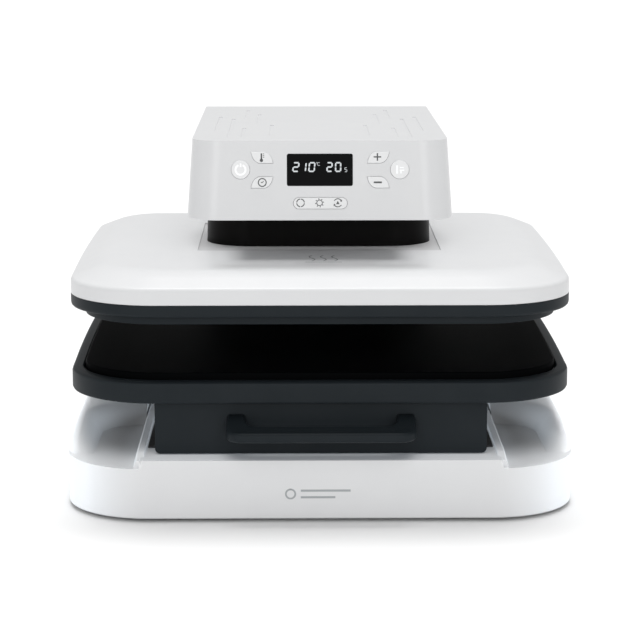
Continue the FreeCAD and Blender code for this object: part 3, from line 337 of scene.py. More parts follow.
# ---------------------------------------------------------------- mesh building
def prism(outline, low, high):
    """Closed solid over a plan outline, from height low to height high."""
    bm = bmesh.new()
    lower = [bm.verts.new((x, y, low)) for x, y in outline]
    upper = [bm.verts.new((x, y, high)) for x, y in outline]
    bm.faces.new(list(reversed(lower)))
    bm.faces.new(upper)
    for i in range(len(outline)):
        j = (i + 1) % len(outline)
        bm.faces.new((lower[i], lower[j], upper[j], upper[i]))
    return bm


def loft(rings, ring_shaped=False):
    """Skin over rings with equal numbers of points; the ends are capped, or joined to each other."""
    bm = bmesh.new()
    rows = [[bm.verts.new(point) for point in ring] for ring in rings]
    pairs = list(zip(rows, rows[1:]))
    if ring_shaped:
        pairs.append((rows[-1], rows[0]))
    for lower, upper in pairs:
        for i in range(len(lower)):
            j = (i + 1) % len(lower)
            bm.faces.new((lower[i], lower[j], upper[j], upper[i]))
    if not ring_shaped:
        bm.faces.new(list(reversed(rows[0])))
        bm.faces.new(rows[-1])
    return bm


def level_edges(bm, z):
    return [e for e in bm.edges if all(abs(v.co.z - z) < SAME for v in e.verts)]


def round_edges(bm, edges, radius, segments=5):
    bmesh.ops.bevel(bm, geom=edges, offset=radius, segments=segments, profile=0.5, affect="EDGES",
                    clamp_overlap=True)


def slice_across(bm, axis, places):
    """Cut loops across the solid at the given places along an axis, so that it can be bent there."""
    normal = Vector([1.0 if axis == i else 0.0 for i in range(3)])
    for place in places:
        everything = bm.verts[:] + bm.edges[:] + bm.faces[:]
        bmesh.ops.bisect_plane(bm, geom=everything, plane_co=normal * place, plane_no=normal, dist=1e-7)


def to_object(bm, name):
    bmesh.ops.remove_doubles(bm, verts=bm.verts, dist=2 * SAME)
    bmesh.ops.recalc_face_normals(bm, faces=bm.faces)
    mesh = bpy.data.meshes.new(name)
    bm.to_mesh(mesh)
    bm.free()
    piece = bpy.data.objects.new(name, mesh)
    bpy.context.scene.collection.objects.link(piece)
    return piece


def bake_modifiers(piece):
    bpy.context.view_layer.update()
    evaluated = piece.evaluated_get(bpy.context.evaluated_depsgraph_get())
    mesh = bpy.data.meshes.new_from_object(evaluated)
    piece.modifiers.clear()
    old = piece.data
    piece.data = mesh
    bpy.data.meshes.remove(old)


def combine(piece, operation, tools):
    """Exact boolean of the piece with each tool in turn; the tools are used up."""
    for tool in tools:
        modifier = piece.modifiers.new("combine", "BOOLEAN")
        modifier.operation = operation
        modifier.solver = "EXACT"
        modifier.object = tool
        bake_modifiers(piece)
        bpy.data.objects.remove(tool)


def dress(piece, body, slot, material=None, stands_for=()):
    """Shading, finish, body and CAD node of a finished piece."""
    mesh = piece.data
    for polygon in mesh.polygons:
        polygon.use_smooth = True
    mesh.set_sharp_from_angle(angle=SHARP)
    weighted = piece.modifiers.new("normals", "WEIGHTED_NORMAL")
    weighted.keep_sharp = True
    weighted.weight = 80
    bake_modifiers(piece)
    piece.data.materials.clear()
    piece.data.materials.append(material or MATERIALS[slot])
    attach(piece, body)
    if stands_for:
        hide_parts(*stands_for)


def corners(node):
    """Lowest and highest corner of a CAD node as plain vectors."""
    low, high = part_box(node)
    return Vector(low), Vector(high)


MATERIALS = build_materials()
build_camera()
overhead_sun, front_fills = build_studio()


# ---------------------------------------------------------------- base housing
def ease(t):
    t = max(0.0, min(1.0, t))
    return t * t * (3 - 2 * t)


def side_wall_height(x, y, outline_gap):
    """Top of the side wall: it rolls over at the outer edge and slopes down into the front pocket."""
    pocket_side, pocket_back, pocket_r = 197.5 * MM, -69 * MM, 34 * MM
    full_crest, rise, rise_start, rise_length = 64 * MM, 13 * MM, -170 * MM, 110 * MM
    sunk = POCKET_FLOOR - 0.3 * MM
    left_to_rise = max(0.0, 1 - (y - rise_start) / rise_length)
    crest = max(sunk, full_crest - rise * left_to_rise ** 3)
    into_roll = max(0.0, EDGE_ROLL - outline_gap)
    rolled = crest - EDGE_ROLL + math.sqrt(max(0.0, EDGE_ROLL ** 2 - into_roll ** 2))
    beside = max(0.0, x - (pocket_side - pocket_r))
    behind = max(0.0, y - (pocket_back - pocket_r))
    gap = math.hypot(beside, behind) - pocket_r
    slope_w = 17 * MM + 13 * MM * behind / (beside + behind + 1e-9)
    if gap < 0:
        return min(rolled, sunk + (crest - POCKET_FLOOR) / slope_w * gap)
    rest = max(0.0, 1 - gap / slope_w)
    return min(rolled, POCKET_FLOOR + (crest - POCKET_FLOOR) * (1 - rest ** 2))


def side_wall_rows(front, back, front_r, back_r):
    """Places from front to back where the side wall is measured: close together round the corners."""
    turns = [1 - math.cos(math.pi / 2 * i / ARC_STEPS) for i in range(ARC_STEPS + 1)]
    straight = 70
    rows = [front + front_r * turn for turn in turns[1:]]
    rows += [front + front_r + (back - front - front_r - back_r) * i / straight for i in range(1, straight)]
    rows += [back - back_r * turn for turn in reversed(turns[1:])] + [back]
    return [y for y in rows if y > front + 1.5 * MM]


def build_side_wall(side, half_w, front, back, front_r, back_r):
    """Side wall and the raised body behind the pocket, as one height field over rows of the outline."""
    rows = side_wall_rows(front, back, front_r, back_r)
    columns, bottom, least = 36, 30 * MM, 1 * MM
    bm = bmesh.new()
    tops, bottoms = [], []
    for y in rows:
        past, corner_r = front + front_r - y, front_r
        if past < 0:
            past, corner_r = max(0.0, y - back + back_r), back_r
        reach = half_w - corner_r + math.sqrt(max(0.0, corner_r ** 2 - past ** 2))
        top_row, bottom_row = [], []
        for column in range(columns + 1):
            share = 1 - (1 - column / columns) ** 1.5
            x = RIB_OUT + share * (max(reach, RIB_OUT + least) - RIB_OUT)
            gap = corner_r - math.hypot(max(0.0, x - half_w + corner_r), past)
            z = max(bottom + least, side_wall_height(x, y, gap))
            top_row.append(bm.verts.new((side * x, y, z)))
            bottom_row.append(bm.verts.new((side * x, y, bottom)))
        tops.append(top_row)
        bottoms.append(bottom_row)
    last = len(rows) - 1
    for i in range(last):
        for j in range(columns):
            bm.faces.new((tops[i][j], tops[i][j + 1], tops[i + 1][j + 1], tops[i + 1][j]))
            bm.faces.new((bottoms[i][j], bottoms[i + 1][j], bottoms[i + 1][j + 1], bottoms[i][j + 1]))
        for j in (0, columns):
            bm.faces.new((tops[i][j], tops[i + 1][j], bottoms[i + 1][j], bottoms[i][j]))
    for i in (0, last):
        for j in range(columns):
            bm.faces.new((tops[i][j], tops[i][j + 1], bottoms[i][j + 1], bottoms[i][j]))
    return to_object(bm, "wall")


def build_rib(side, front, back):
    """Low rib beside the drawer channel: its outer face leans out, its front end slopes down to the lip."""
    low, foot, chamfer = 40 * MM, 3.5 * MM, 1.5 * MM
    start, nose, drop = front + 5 * MM, 20 * MM, 4.2 * MM
    section = [(RIB_IN, low), (RIB_IN, RIB_TOP), (RIB_OUT - chamfer, RIB_TOP), (RIB_OUT + foot, low)]
    rib = loft([[(side * x, y, z) for x, z in section] for y in (start, back - 1 * MM)])
    bmesh.ops.recalc_face_normals(rib, faces=rib.faces)
    round_edges(rib, level_edges(rib, RIB_TOP), 1.2 * MM, 4)
    slice_across(rib, 1, [start + step * MM for step in range(3, 19, 3)])
    for vertex in rib.verts:
        if vertex.co.z > 50 * MM:
            vertex.co.z -= drop * (1 - ease((vertex.co.y - start) / nose))
    return to_object(rib, "rib")


def build_centre(half_w, front, back, front_r, tuck):
    """Block under the drawer deck; its front follows the outline, a hair inside it."""
    middle_w = RIB_OUT - 4 * MM
    arc_x = half_w - front_r
    swing = math.degrees(math.asin((middle_w - arc_x) / front_r))
    right = arc_points(arc_x, front + front_r, front_r - tuck, -90, -90 + swing, 6)
    right.append((middle_w, back - tuck))
    centre = prism([(-x, y) for x, y in reversed(right)] + right, 20 * MM, DECK)
    round_edges(centre, level_edges(centre, DECK), 5 * MM, 6)
    return to_object(centre, "centre")


def cut_sockets(base, back):
    """Holes in the back for the mains inlet and the rocker, and in the deck for the steel column."""
    grow, past = 0.1 * MM, 5 * MM
    for node in ("power_inlet", "rocker_bezel"):
        low, high = corners(node)
        outline = rectangle(low.x - grow, high.x + grow, low.y, back + past)
        combine(base, "DIFFERENCE", [to_object(prism(outline, low.z - grow, high.z + grow), "hole")])
    low, high = corners("column_beam")
    gap = 2 * MM
    outline = rectangle(low.x - gap, high.x + gap, low.y - gap, high.y + gap)
    combine(base, "DIFFERENCE", [to_object(prism(outline, 30 * MM, 70 * MM), "hole")])


def build_base():
    """Low white housing: drawer deck with ribs, front pockets and gently rising side walls."""
    low, high = corners("base_shell")
    half_w, front, back = high.x, low.y, high.y
    bottom = low.z - 1.2 * MM
    front_r, back_r = 75 * MM, 52 * MM
    skin, tuck = 3 * MM, 0.05 * MM

    outline = rounded_rectangle(-half_w, half_w, front, back, front_r, back_r)
    lower = prism(outline, bottom, POCKET_FLOOR)
    round_edges(lower, level_edges(lower, POCKET_FLOOR), EDGE_ROLL, 6)
    round_edges(lower, level_edges(lower, bottom), 1.5 * MM, 3)
    base = to_object(lower, "base_housing")
    parts = [build_centre(half_w, front, back, front_r, tuck)]
    for side in (-1, 1):
        parts.append(build_rib(side, front, back))
        parts.append(build_side_wall(side, half_w - tuck, front + tuck, back - tuck, front_r - tuck,
                                     back_r - tuck))
    combine(base, "UNION", parts)
    hollow = [(x * (half_w - skin) / half_w, y * (back - skin) / back) for x, y in outline]
    hollow = prism(hollow, bottom - 5 * MM, POCKET_FLOOR - skin)
    combine(base, "DIFFERENCE", [to_object(hollow, "hollow")])
    cut_sockets(base, back)
    dress(base, "base", "white_shell", stands_for=("base_shell",))


# ---------------------------------------------------------------- upper platen
def platen_outline(inset):
    """Plan of the platen and the tray: large front corners, smaller back ones, sides bowed out a little."""
    low, high = corners("platen_rim")
    front_r, back_r = 78 * MM - 0.75 * inset, 52 * MM - 0.75 * inset
    points = rounded_rectangle(low.x + inset, high.x - inset, low.y + inset, high.y - inset, front_r, back_r,
                               sides=BOW_POINTS)
    bow, middle, reach = 2.2 * MM / high.x, 20 * MM, 160 * MM
    return [(x * (1 + bow * max(0.0, 1 - ((y - middle) / reach) ** 2)), y) for x, y in points]


def neck_outline(inset):
    low, high = corners("neck_sleeve")
    radius = 41 * MM - inset
    return rounded_rectangle(low.x + inset, high.x - inset, low.y + inset, high.y - inset, radius, radius,
                             sides=BOW_POINTS)


def seat_outline(inset):
    """Shallow square seat in the cover round the neck."""
    half_w, front, back, radius = 110 * MM - inset, -84 * MM + inset, 93 * MM - inset, 2 * MM
    return rounded_rectangle(-half_w, half_w, front, back, radius, radius, sides=BOW_POINTS)


def rings_from(outline_at, steps):
    """Rings for loft() from (inset, height) pairs."""
    return [[(x, y, z) for x, y in outline_at(inset)] for inset, z in steps]


def build_platen_cover():
    """Cover: upright wall, tight bend, a slope up to the flat crest, and a shallow seat round the neck."""
    low, high = corners("platen_cover")
    bottom, top, skin = low.z, high.z, 3 * MM
    bend_r, slope, crest_r, bend_z = 4.5 * MM, math.radians(22), 60 * MM, bottom + 10.6 * MM
    lip, crest_inside, turns = 0.4 * MM, 29 * MM, 8
    steps = [(lip, bottom), (0.0, bottom + lip)]
    for i in range(turns + 1):
        turn = (math.pi / 2 - slope) * i / turns
        steps.append((bend_r * (1 - math.cos(turn)), bend_z + bend_r * math.sin(turn)))
    inset, z = steps[-1]
    crest_at = inset + (top - z) / math.tan(slope) + crest_r * math.tan(slope / 2)
    for i in range(turns + 1):
        turn = slope * (1 - i / turns)
        steps.append((crest_at - crest_r * math.sin(turn), top - crest_r * (1 - math.cos(turn))))
    rings = rings_from(platen_outline, steps)
    seat_z = top - 1.2 * MM
    rings += rings_from(seat_outline, [(0.0, top), (0.0, seat_z)])
    rings += rings_from(neck_outline, [(-NECK_GAP, seat_z), (-NECK_GAP, top - skin)])
    rings += rings_from(platen_outline, [(crest_inside, top - skin), (skin, bend_z), (skin, bottom)])
    cover = to_object(loft(rings, True), "platen_cover_shell")
    dress(cover, "platen", "white_gloss", stands_for=("platen_cover",))
    build_seat_shade_plate(seat_z)


def build_seat_shade_plate(seat_z):
    """Thin plate that lines the seat, a darker grey than the cover: painted shade under the head, round the
    neck.
    """
    face_z, buried_z, inset = seat_z + 0.15 * MM, seat_z - 0.5 * MM, 0.05 * MM
    rings = rings_from(seat_outline, [(inset, buried_z), (inset, face_z)])
    rings += rings_from(neck_outline, [(-NECK_GAP, face_z), (-NECK_GAP, buried_z)])
    # The plate's darker grey is painted shade, not a different part or finish.
    dress(to_object(loft(rings, True), "cover_seat"), "platen", "white_gloss", MATERIALS["seat_painted_shade"])


def build_platen_rim():
    """Dark band below the cover, softly rounded underneath."""
    low, high = corners("platen_rim")
    inner = 12.5 * MM
    steps = [(inner, high.z), (inner, low.z), (3.2 * MM, low.z), (1.4 * MM, low.z + 0.5 * MM),
             (0.4 * MM, low.z + 1.6 * MM), (0.0, low.z + 3.4 * MM), (0.0, high.z)]
    band = to_object(loft(rings_from(platen_outline, steps), True), "platen_rim_band")
    dress(band, "platen", "charcoal_plastic", stands_for=("platen_rim",))


def build_heat_guard():
    """Lip round the heat plate, set in from the rim."""
    low, high = corners("heat_guard")
    inset, inner = 12.5 * MM, 20.5 * MM
    steps = [(inner, high.z), (inner, low.z + 0.6 * MM), (inner - 0.6 * MM, low.z), (inset + 1.2 * MM, low.z),
             (inset + 0.3 * MM, low.z + 0.4 * MM), (inset, low.z + 1.4 * MM), (inset, high.z)]
    lip = to_object(loft(rings_from(platen_outline, steps), True), "heat_guard_lip")
    dress(lip, "platen", "charcoal_plastic", stands_for=("heat_guard",))


def build_neck():
    """Round-cornered skirt that widens a little towards its foot."""
    low, high = corners("neck_sleeve")
    skin, draft = 3 * MM, 0.8 * MM
    steps = [(0.0, low.z), (0.0, low.z + 14 * MM), (draft, low.z + 52 * MM), (draft, high.z - 0.8 * MM),
             (draft + 0.8 * MM, high.z), (skin, high.z), (skin, low.z)]
    neck = to_object(loft(rings_from(neck_outline, steps), True), "neck_skirt")
    dress(neck, "platen", "neck_plastic", stands_for=("neck_sleeve",))


# ---------------------------------------------------------------- drawer
def build_tray():
    """Shallow pan with a rounded rim, open above its floor."""
    low, high = corners("tray")
    rim, floor_high = 10 * MM, corners("lower_plate")[0].z
    floor_low = floor_high - 3 * MM
    steps = [(rim, floor_low), (rim, low.z + 0.8 * MM), (rim - 0.8 * MM, low.z), (2.6 * MM, low.z),
             (0.9 * MM, low.z + 0.7 * MM), (0.0, low.z + 2.4 * MM), (0.0, high.z - 3.6 * MM),
             (0.5 * MM, high.z - 1.7 * MM), (1.8 * MM, high.z - 0.5 * MM), (3.8 * MM, high.z),
             (rim - 1.0 * MM, high.z), (rim, high.z - 1.0 * MM), (rim, floor_high)]
    tray = to_object(loft(rings_from(platen_outline, steps)), "tray_pan")
    dress(tray, "drawer", "charcoal_plastic", stands_for=("tray",))


def build_pad():
    """Silicone sheet with soft edges that lies in the tray."""
    low, high = corners("silicone_pad")
    inset = 11.5 * MM
    steps = [(inset + 0.5 * MM, low.z), (inset, low.z + 0.5 * MM), (inset, high.z - 2.0 * MM),
             (inset + 0.35 * MM, high.z - 0.9 * MM), (inset + 1.0 * MM, high.z - 0.25 * MM),
             (inset + 2.2 * MM, high.z)]
    pad = to_object(loft(rings_from(platen_outline, steps)), "silicone_pad_sheet")
    dress(pad, "drawer", "pad_silicone", stands_for=("silicone_pad",))


def build_drawer_front():
    """Front panel with round lower corners and a return behind it; drawn lying down, then stood up."""
    low, high = corners("drawer_front")
    skin, radius = 3 * MM, 4 * MM
    outline = rounded_rectangle(low.x, high.x, low.z, high.z, radius, 0.6 * MM, 8)
    panel = prism(outline, -high.y, -low.y)
    round_edges(panel, level_edges(panel, -low.y), 1.0 * MM, 4)
    inside = rounded_rectangle(low.x + skin, high.x - skin, low.z + skin, high.z + 5 * MM, 2 * MM, 1 * MM, 8)
    hollow = prism(inside, -high.y - 1 * MM, -low.y - skin)
    panel = to_object(panel, "drawer_front_panel")
    combine(panel, "DIFFERENCE", [to_object(hollow, "hollow")])
    panel.data.transform(Matrix(((1, 0, 0, 0), (0, 0, -1, 0), (0, 1, 0, 0), (0, 0, 0, 1))))
    dress(panel, "drawer", "charcoal_plastic", stands_for=("drawer_front",))


def build_handle():
    """Bow pull: one U-shaped plan, rounded all over, its top rising towards the panel."""
    low, high = corners("handle")
    half_w, front, back = high.x, low.y, high.y
    bar_d, leg_w, bar_top = 17 * MM, 17 * MM, 80.3 * MM
    outer_r, inner_r, level = 15 * MM, 9 * MM, 4 * MM
    plan = arc_points(half_w - outer_r, front + outer_r, outer_r, -90, 0)
    plan += [(half_w, back), (half_w - leg_w, back)]
    plan += list(reversed(arc_points(half_w - leg_w - inner_r, front + bar_d + inner_r, inner_r, -90, 0)))
    plan += [(-x, y) for x, y in reversed(plan)]
    handle = prism(plan, low.z, bar_top)
    bmesh.ops.recalc_face_normals(handle, faces=handle.faces)
    rim = [e for e in level_edges(handle, bar_top) + level_edges(handle, low.z)
           if not all(abs(v.co.y - back) < SAME for v in e.verts)]
    round_edges(handle, rim, 3.2 * MM, 6)
    slice_across(handle, 1, [front + (back - front) * i / 16 for i in range(1, 16)])
    for vertex in handle.verts:
        depth = max(0.0, vertex.co.y - front - level) / (back - front - level)
        share = (vertex.co.z - low.z) / (bar_top - low.z)
        vertex.co.z += share * (high.z - bar_top) * ease(depth)
    dress(to_object(handle, "bow_handle"), "drawer", "charcoal_plastic", stands_for=("handle",))


# ---------------------------------------------------------------- head
def head_lean():
    """How far the head's front leans back per metre of height, from the control panel's joint axis."""
    press = next(j["axis"] for j in frame["joints"] if j["name"] == "mode_button_press")
    return -press[2] / press[1]


def head_solid(inset, bottom_drop, name):
    """Head with its roof rounded down to the back and its front leaned back; with an inset, its hollow."""
    low, high = corners("head_shell")
    lean, lean_end = head_lean(), 20 * MM
    bottom, top = low.z - bottom_drop, high.z - inset
    half_w = high.x - inset
    narrow = 4.4 * MM / (high.z - low.z)
    corner_r, rear_r, back_r = 28 * MM - inset, 20 * MM - inset, 57 * MM - inset
    front, back = low.y + inset, high.y - inset
    outline = rounded_rectangle(-half_w, half_w, front, back, corner_r, rear_r)
    solid = prism(outline, bottom, top)
    edge = max(3.6 * MM - inset, 0.5 * MM)
    round_edges(solid, level_edges(solid, top), edge, 5)
    if not inset:
        round_edges(solid, level_edges(solid, bottom), 1.4 * MM, 4)
    turns = 18
    slice_across(solid, 1, [back - back_r + back_r * math.sin(math.pi / 2 * i / turns) for i in range(turns)])
    mid = bottom + 6 * MM
    for vertex in solid.verts:
        past = vertex.co.y - (back - back_r)
        if past > 0:
            roof = top - back_r + math.sqrt(max(0.0, back_r ** 2 - past ** 2))
            share = max(0.0, (vertex.co.z - mid) / (top - mid))
            vertex.co.z -= share * (top - roof)
    for vertex in solid.verts:
        rise = vertex.co.z - low.z
        vertex.co.x *= 1 - rise * narrow / high.x
        towards_front = max(0.0, min(1.0, (lean_end - vertex.co.y) / (lean_end - front)))
        vertex.co.y += rise * lean * towards_front
    return to_object(solid, name)


def build_head():
    """Hollow white head with the panel's openings and shallow vent grooves in its roof."""
    head = head_solid(0.0, 0.0, "head_housing")
    combine(head, "DIFFERENCE", [head_solid(3 * MM, 8 * MM, "hollow")])
    for outline in [lens_outline(0.15 * MM)] + [cap_outline(name, 0.28 * MM) for name in CAPS]:
        combine(head, "DIFFERENCE", [on_panel(to_object(prism(outline, -6 * MM, 6 * MM), "hole"))])
    top = corners("head_shell")[1].z
    for x, start, end in VENTS:
        for side in (-1, 1):
            slot = prism(vent_outline(side * x * MM, start * MM, end * MM), top - 0.6 * MM, top + 5 * MM)
            combine(head, "DIFFERENCE", [to_object(slot, "slot")])
    dress(head, "base", "white_shell", stands_for=("head_shell",))


def vent_outline(x, start, end):
    half = 1.7 * MM
    points = arc_points(x, end - half, half, 0, 180, 8)
    return points + arc_points(x, start + half, half, 180, 360, 8)


# ---------------------------------------------------------------- control panel
# Drawn flat: x right, y up the leaned-back face from its lower edge, z out of the face.
def panel_tilt():
    return math.atan(head_lean())


def on_panel(piece):
    """Stand a piece that was drawn flat up on the control panel."""
    low, _ = corners("head_shell")
    place = Matrix.Translation((0, low.y, low.z)) @ Matrix.Rotation(math.pi / 2 - panel_tilt(), 4, "X")
    piece.data.transform(place)
    return piece


def up_panel(z):
    """Distance up the leaned-back face for a height above the table."""
    return (z - corners("head_shell")[0].z) / math.cos(panel_tilt())


def rounded_box_outline(x0, x1, y0, y1, radius, steps=8):
    return rounded_rectangle(x0, x1, y0, y1, radius, radius, steps)


def lens_outline(grow):
    x0, x1, z0, z1 = -28.8 * MM, 28.2 * MM, 278.8 * MM, 306.2 * MM
    low, high = up_panel(z0) - grow, up_panel(z1) + grow
    return rounded_box_outline(x0 - grow, x1 + grow, low, high, 1.6 * MM + grow)


def leaf_outline(side, row, grow):
    """Two sharp corners across from each other, joined by straight edges that bow into flat curves."""
    x_in, x_out = side * (40.9 * MM - grow), side * (59.9 * MM + grow)
    low_z, high_z = ((277.0, 286.6), (298.2, 307.8))[row]
    low, high = up_panel(low_z * MM) - grow, up_panel(high_z * MM) + grow
    outer, inner = ((low, high), (high, low))[row]
    sweep, flat = 0.62 * (x_in - x_out), 0.16
    points = []
    for start, end, turn in (((x_out, outer), (x_in, inner), sweep), ((x_in, inner), (x_out, outer), -sweep)):
        knee = (start[0] + turn, start[1])
        bend = (end[0] + flat * (knee[0] - end[0]), start[1] + flat * (end[1] - start[1]))
        points.append(start)
        for i in range(LEAF_STEPS):
            t = i / LEAF_STEPS
            weights = ((1 - t) ** 2, 2 * t * (1 - t), t * t)
            points.append(tuple(sum(w * p[k] for w, p in zip(weights, (knee, bend, end))) for k in (0, 1)))
    return points


def cap_outline(name, grow):
    """Outline of a button cap, grown by the gap around it."""
    side = 1 if name in RIGHT_CAPS else -1
    if name in ROUND_CAPS:
        return arc_points(side * 69 * MM, up_panel(292.6 * MM), 8.0 * MM + grow, 0, 360 - 360 / 64, 63)
    if name == "mode_button":
        low, high = up_panel(259.2 * MM) - grow, up_panel(268.8 * MM) + grow
        end_r = (high - low) / 2 - SAME
        return rounded_box_outline(-23.2 * MM - grow, 23.4 * MM + grow, low, high, end_r, 14)
    return leaf_outline(side, 1 if name in UPPER_LEAVES else 0, grow)


def build_caps():
    """Button caps with softly rounded rims and the flange that keeps them behind the panel."""
    proud, rim, flange = 0.9 * MM, 0.5 * MM, 0.9 * MM
    for name in CAPS:
        lit = name in ROUND_CAPS
        steps = [(flange, -4.3 * MM), (flange, -3.3 * MM), (0.0, -3.3 * MM), (0.0, proud - rim)]
        for i in range(1, 5):
            angle = math.pi / 2 * i / 4
            steps.append((-rim * (1 - math.cos(angle)), proud - rim + rim * math.sin(angle)))
        rings = [[(x, y, z) for x, y in cap_outline(name, grow)] for grow, z in steps]
        cap = on_panel(to_object(loft(rings), name + "_cap"))
        dress(cap, name, "button_white", MATERIALS["cap_light"] if lit else None, stands_for=(name,))


def raised_mark(name, body, slot, material, outlines, low, high, place=None):
    """Thin printed mark made of several flat outlines; place stands it on its surface."""
    bm = bmesh.new()
    for outline in outlines:
        prism_mesh = bpy.data.meshes.new("stroke")
        stroke = prism(outline, low, high)
        bmesh.ops.recalc_face_normals(stroke, faces=stroke.faces)
        stroke.to_mesh(prism_mesh)
        stroke.free()
        bm.from_mesh(prism_mesh)
        bpy.data.meshes.remove(prism_mesh)
    mark = (place or on_panel)(to_object(bm, name))
    dress(mark, body, slot, MATERIALS[material])


def bar(x0, y0, x1, y1, width):
    """Straight stroke with square ends between two points."""
    length = math.hypot(x1 - x0, y1 - y0)
    nx, ny = -(y1 - y0) / length * width / 2, (x1 - x0) / length * width / 2
    return [(x0 + nx, y0 + ny), (x0 - nx, y0 - ny), (x1 - nx, y1 - ny), (x1 + nx, y1 + ny)]


def arc_stroke(cx, cy, radius, width, start, end, steps=16):
    outer = arc_points(cx, cy, radius + width / 2, start, end, steps)
    return outer + list(reversed(arc_points(cx, cy, radius - width / 2, start, end, steps)))


def ring_strokes(cx, cy, radius, width, segments, gap):
    """Ring in equal segments with gaps in degrees; one gap is at the top."""
    step = 360 / segments
    return [arc_stroke(cx, cy, radius, width, 90 + gap / 2 + i * step, 90 - gap / 2 + (i + 1) * step)
            for i in range(segments)]


def disc(cx, cy, radius, steps=24):
    return arc_points(cx, cy, radius, 0, 360 - 360 / steps, steps - 1)


def build_cap_marks():
    """Grey symbols printed on the caps, and lit ones on the two round caps."""
    low, high = 0.84 * MM, 0.95 * MM

    def mark(name, strokes, material="icon_grey"):
        slot = "display_glow" if material == "mark_light" else "charcoal_plastic"
        raised_mark(name + "_mark", name, slot, material, strokes, low, high)

    y = up_panel(292.6 * MM)
    mark("power_button", [arc_stroke(-69 * MM, y, 4.3 * MM, 1.7 * MM, 115, 425, 48),
                          bar(-69 * MM, y + 2.2 * MM, -69 * MM, y + 5.6 * MM, 1.5 * MM)], "mark_light")
    mark("start_button", [bar(66.6 * MM, y - 3.6 * MM, 66.6 * MM, y + 3.6 * MM, 1.5 * MM),
                          bar(69.0 * MM, y + 1.7 * MM, 72.4 * MM, y + 1.7 * MM, 1.1 * MM),
                          bar(69.0 * MM, y - 0.6 * MM, 72.8 * MM, y - 0.6 * MM, 1.1 * MM),
                          bar(70.0 * MM, y - 3.4 * MM, 70.0 * MM, y - 1.1 * MM, 1.2 * MM)], "mark_light")

    y = up_panel(302.7 * MM)
    mark("temperature_button", [disc(-50.9 * MM, y - 2.2 * MM, 1.45 * MM),
                                bar(-50.9 * MM, y - 1.6 * MM, -50.9 * MM, y + 3.9 * MM, 1.3 * MM),
                                bar(-49.6 * MM, y + 0.6 * MM, -48.5 * MM, y + 0.6 * MM, 0.6 * MM),
                                bar(-49.6 * MM, y + 2.0 * MM, -48.5 * MM, y + 2.0 * MM, 0.6 * MM),
                                bar(-49.6 * MM, y + 3.4 * MM, -48.5 * MM, y + 3.4 * MM, 0.6 * MM)])
    plus_y = up_panel(303.4 * MM)
    mark("plus_button", [bar(46.3 * MM, plus_y, 52.9 * MM, plus_y, 1.15 * MM),
                         bar(49.6 * MM, plus_y + 0.57 * MM, 49.6 * MM, plus_y + 3.3 * MM, 1.15 * MM),
                         bar(49.6 * MM, plus_y - 3.3 * MM, 49.6 * MM, plus_y - 0.57 * MM, 1.15 * MM)])
    y = up_panel(281.7 * MM)
    mark("timer_button", ring_strokes(-50.2 * MM, y, 3.4 * MM, 0.9 * MM, 4, 0)
         + [bar(-51.4 * MM, y + 0.4 * MM, -50.4 * MM, y - 0.4 * MM, 0.6 * MM),
            bar(-50.4 * MM, y - 0.4 * MM, -49.0 * MM, y + 1.2 * MM, 0.6 * MM)])
    mark("minus_button", [bar(46.4 * MM, y, 53.4 * MM, y, 1.5 * MM)])
    build_mode_marks(mark)


def build_mode_marks(mark):
    """Three preset symbols: a split ring, a toothed ring, and two arrows chasing round a triangle."""
    y = up_panel(264.3 * MM)
    strokes = ring_strokes(-17.1 * MM, y, 3.3 * MM, 0.85 * MM, 4, 12)
    sun_x = -0.6 * MM
    strokes += ring_strokes(sun_x, y, 2.4 * MM, 0.65 * MM, 4, 0)
    tooth_in, tooth_out = 2.9 * MM, 3.85 * MM
    for i in range(8):
        angle = math.radians(45 * i + 10)
        ux, uy = math.cos(angle), math.sin(angle)
        inner = (sun_x + tooth_in * ux, y + tooth_in * uy)
        outer = (sun_x + tooth_out * ux, y + tooth_out * uy)
        strokes.append(bar(*inner, *outer, 0.8 * MM))
    cycle_x, cycle_r = 15.2 * MM, 3.5 * MM
    for start in (30, 210):
        strokes.append(arc_stroke(cycle_x, y, cycle_r, 0.75 * MM, start, start + 120))
        tip = math.radians(start - 16)
        root = math.radians(start + 8)
        tip_point = (cycle_x + cycle_r * math.cos(tip), y + cycle_r * math.sin(tip))
        strokes.append([(cycle_x + (cycle_r + grow) * math.cos(root), y + (cycle_r + grow) * math.sin(root))
                        for grow in (-1.2 * MM, 1.2 * MM)] + [tip_point])
    foot = y - 1.2 * MM
    strokes.append([(cycle_x - 1.5 * MM, foot), (cycle_x + 1.5 * MM, foot), (cycle_x, y + 1.7 * MM)])
    mark("mode_button", strokes)


def digit_strokes(digit, x, y, width, height, stroke, slant):
    """Lit bars of a seven-segment digit; x, y is its lower left corner, slant its lean per height."""
    gap = 0.12 * stroke
    left, right, middle, top = stroke / 2, width - stroke / 2, height / 2, height - stroke / 2
    ends = {
        "a": (left, top, right, top),
        "b": (right, middle, right, top),
        "c": (right, stroke / 2, right, middle),
        "d": (left, stroke / 2, right, stroke / 2),
        "e": (left, stroke / 2, left, middle),
        "f": (left, middle, left, top),
        "g": (left, middle, right, middle),
    }
    strokes = []
    for segment in SEGMENTS[digit]:
        x0, y0, x1, y1 = ends[segment]
        half = stroke / 2
        if y0 == y1:
            outline = [(x0 + gap, y0), (x0 + half, y0 - half), (x1 - half, y0 - half), (x1 - gap, y0),
                       (x1 - half, y0 + half), (x0 + half, y0 + half)]
        else:
            outline = [(x0, y0 + gap), (x0 + half, y0 + half), (x0 + half, y1 - half), (x0, y1 - gap),
                       (x0 - half, y1 - half), (x0 - half, y0 + half)]
        strokes.append([(x + px + slant * py, y + py) for px, py in outline])
    return strokes


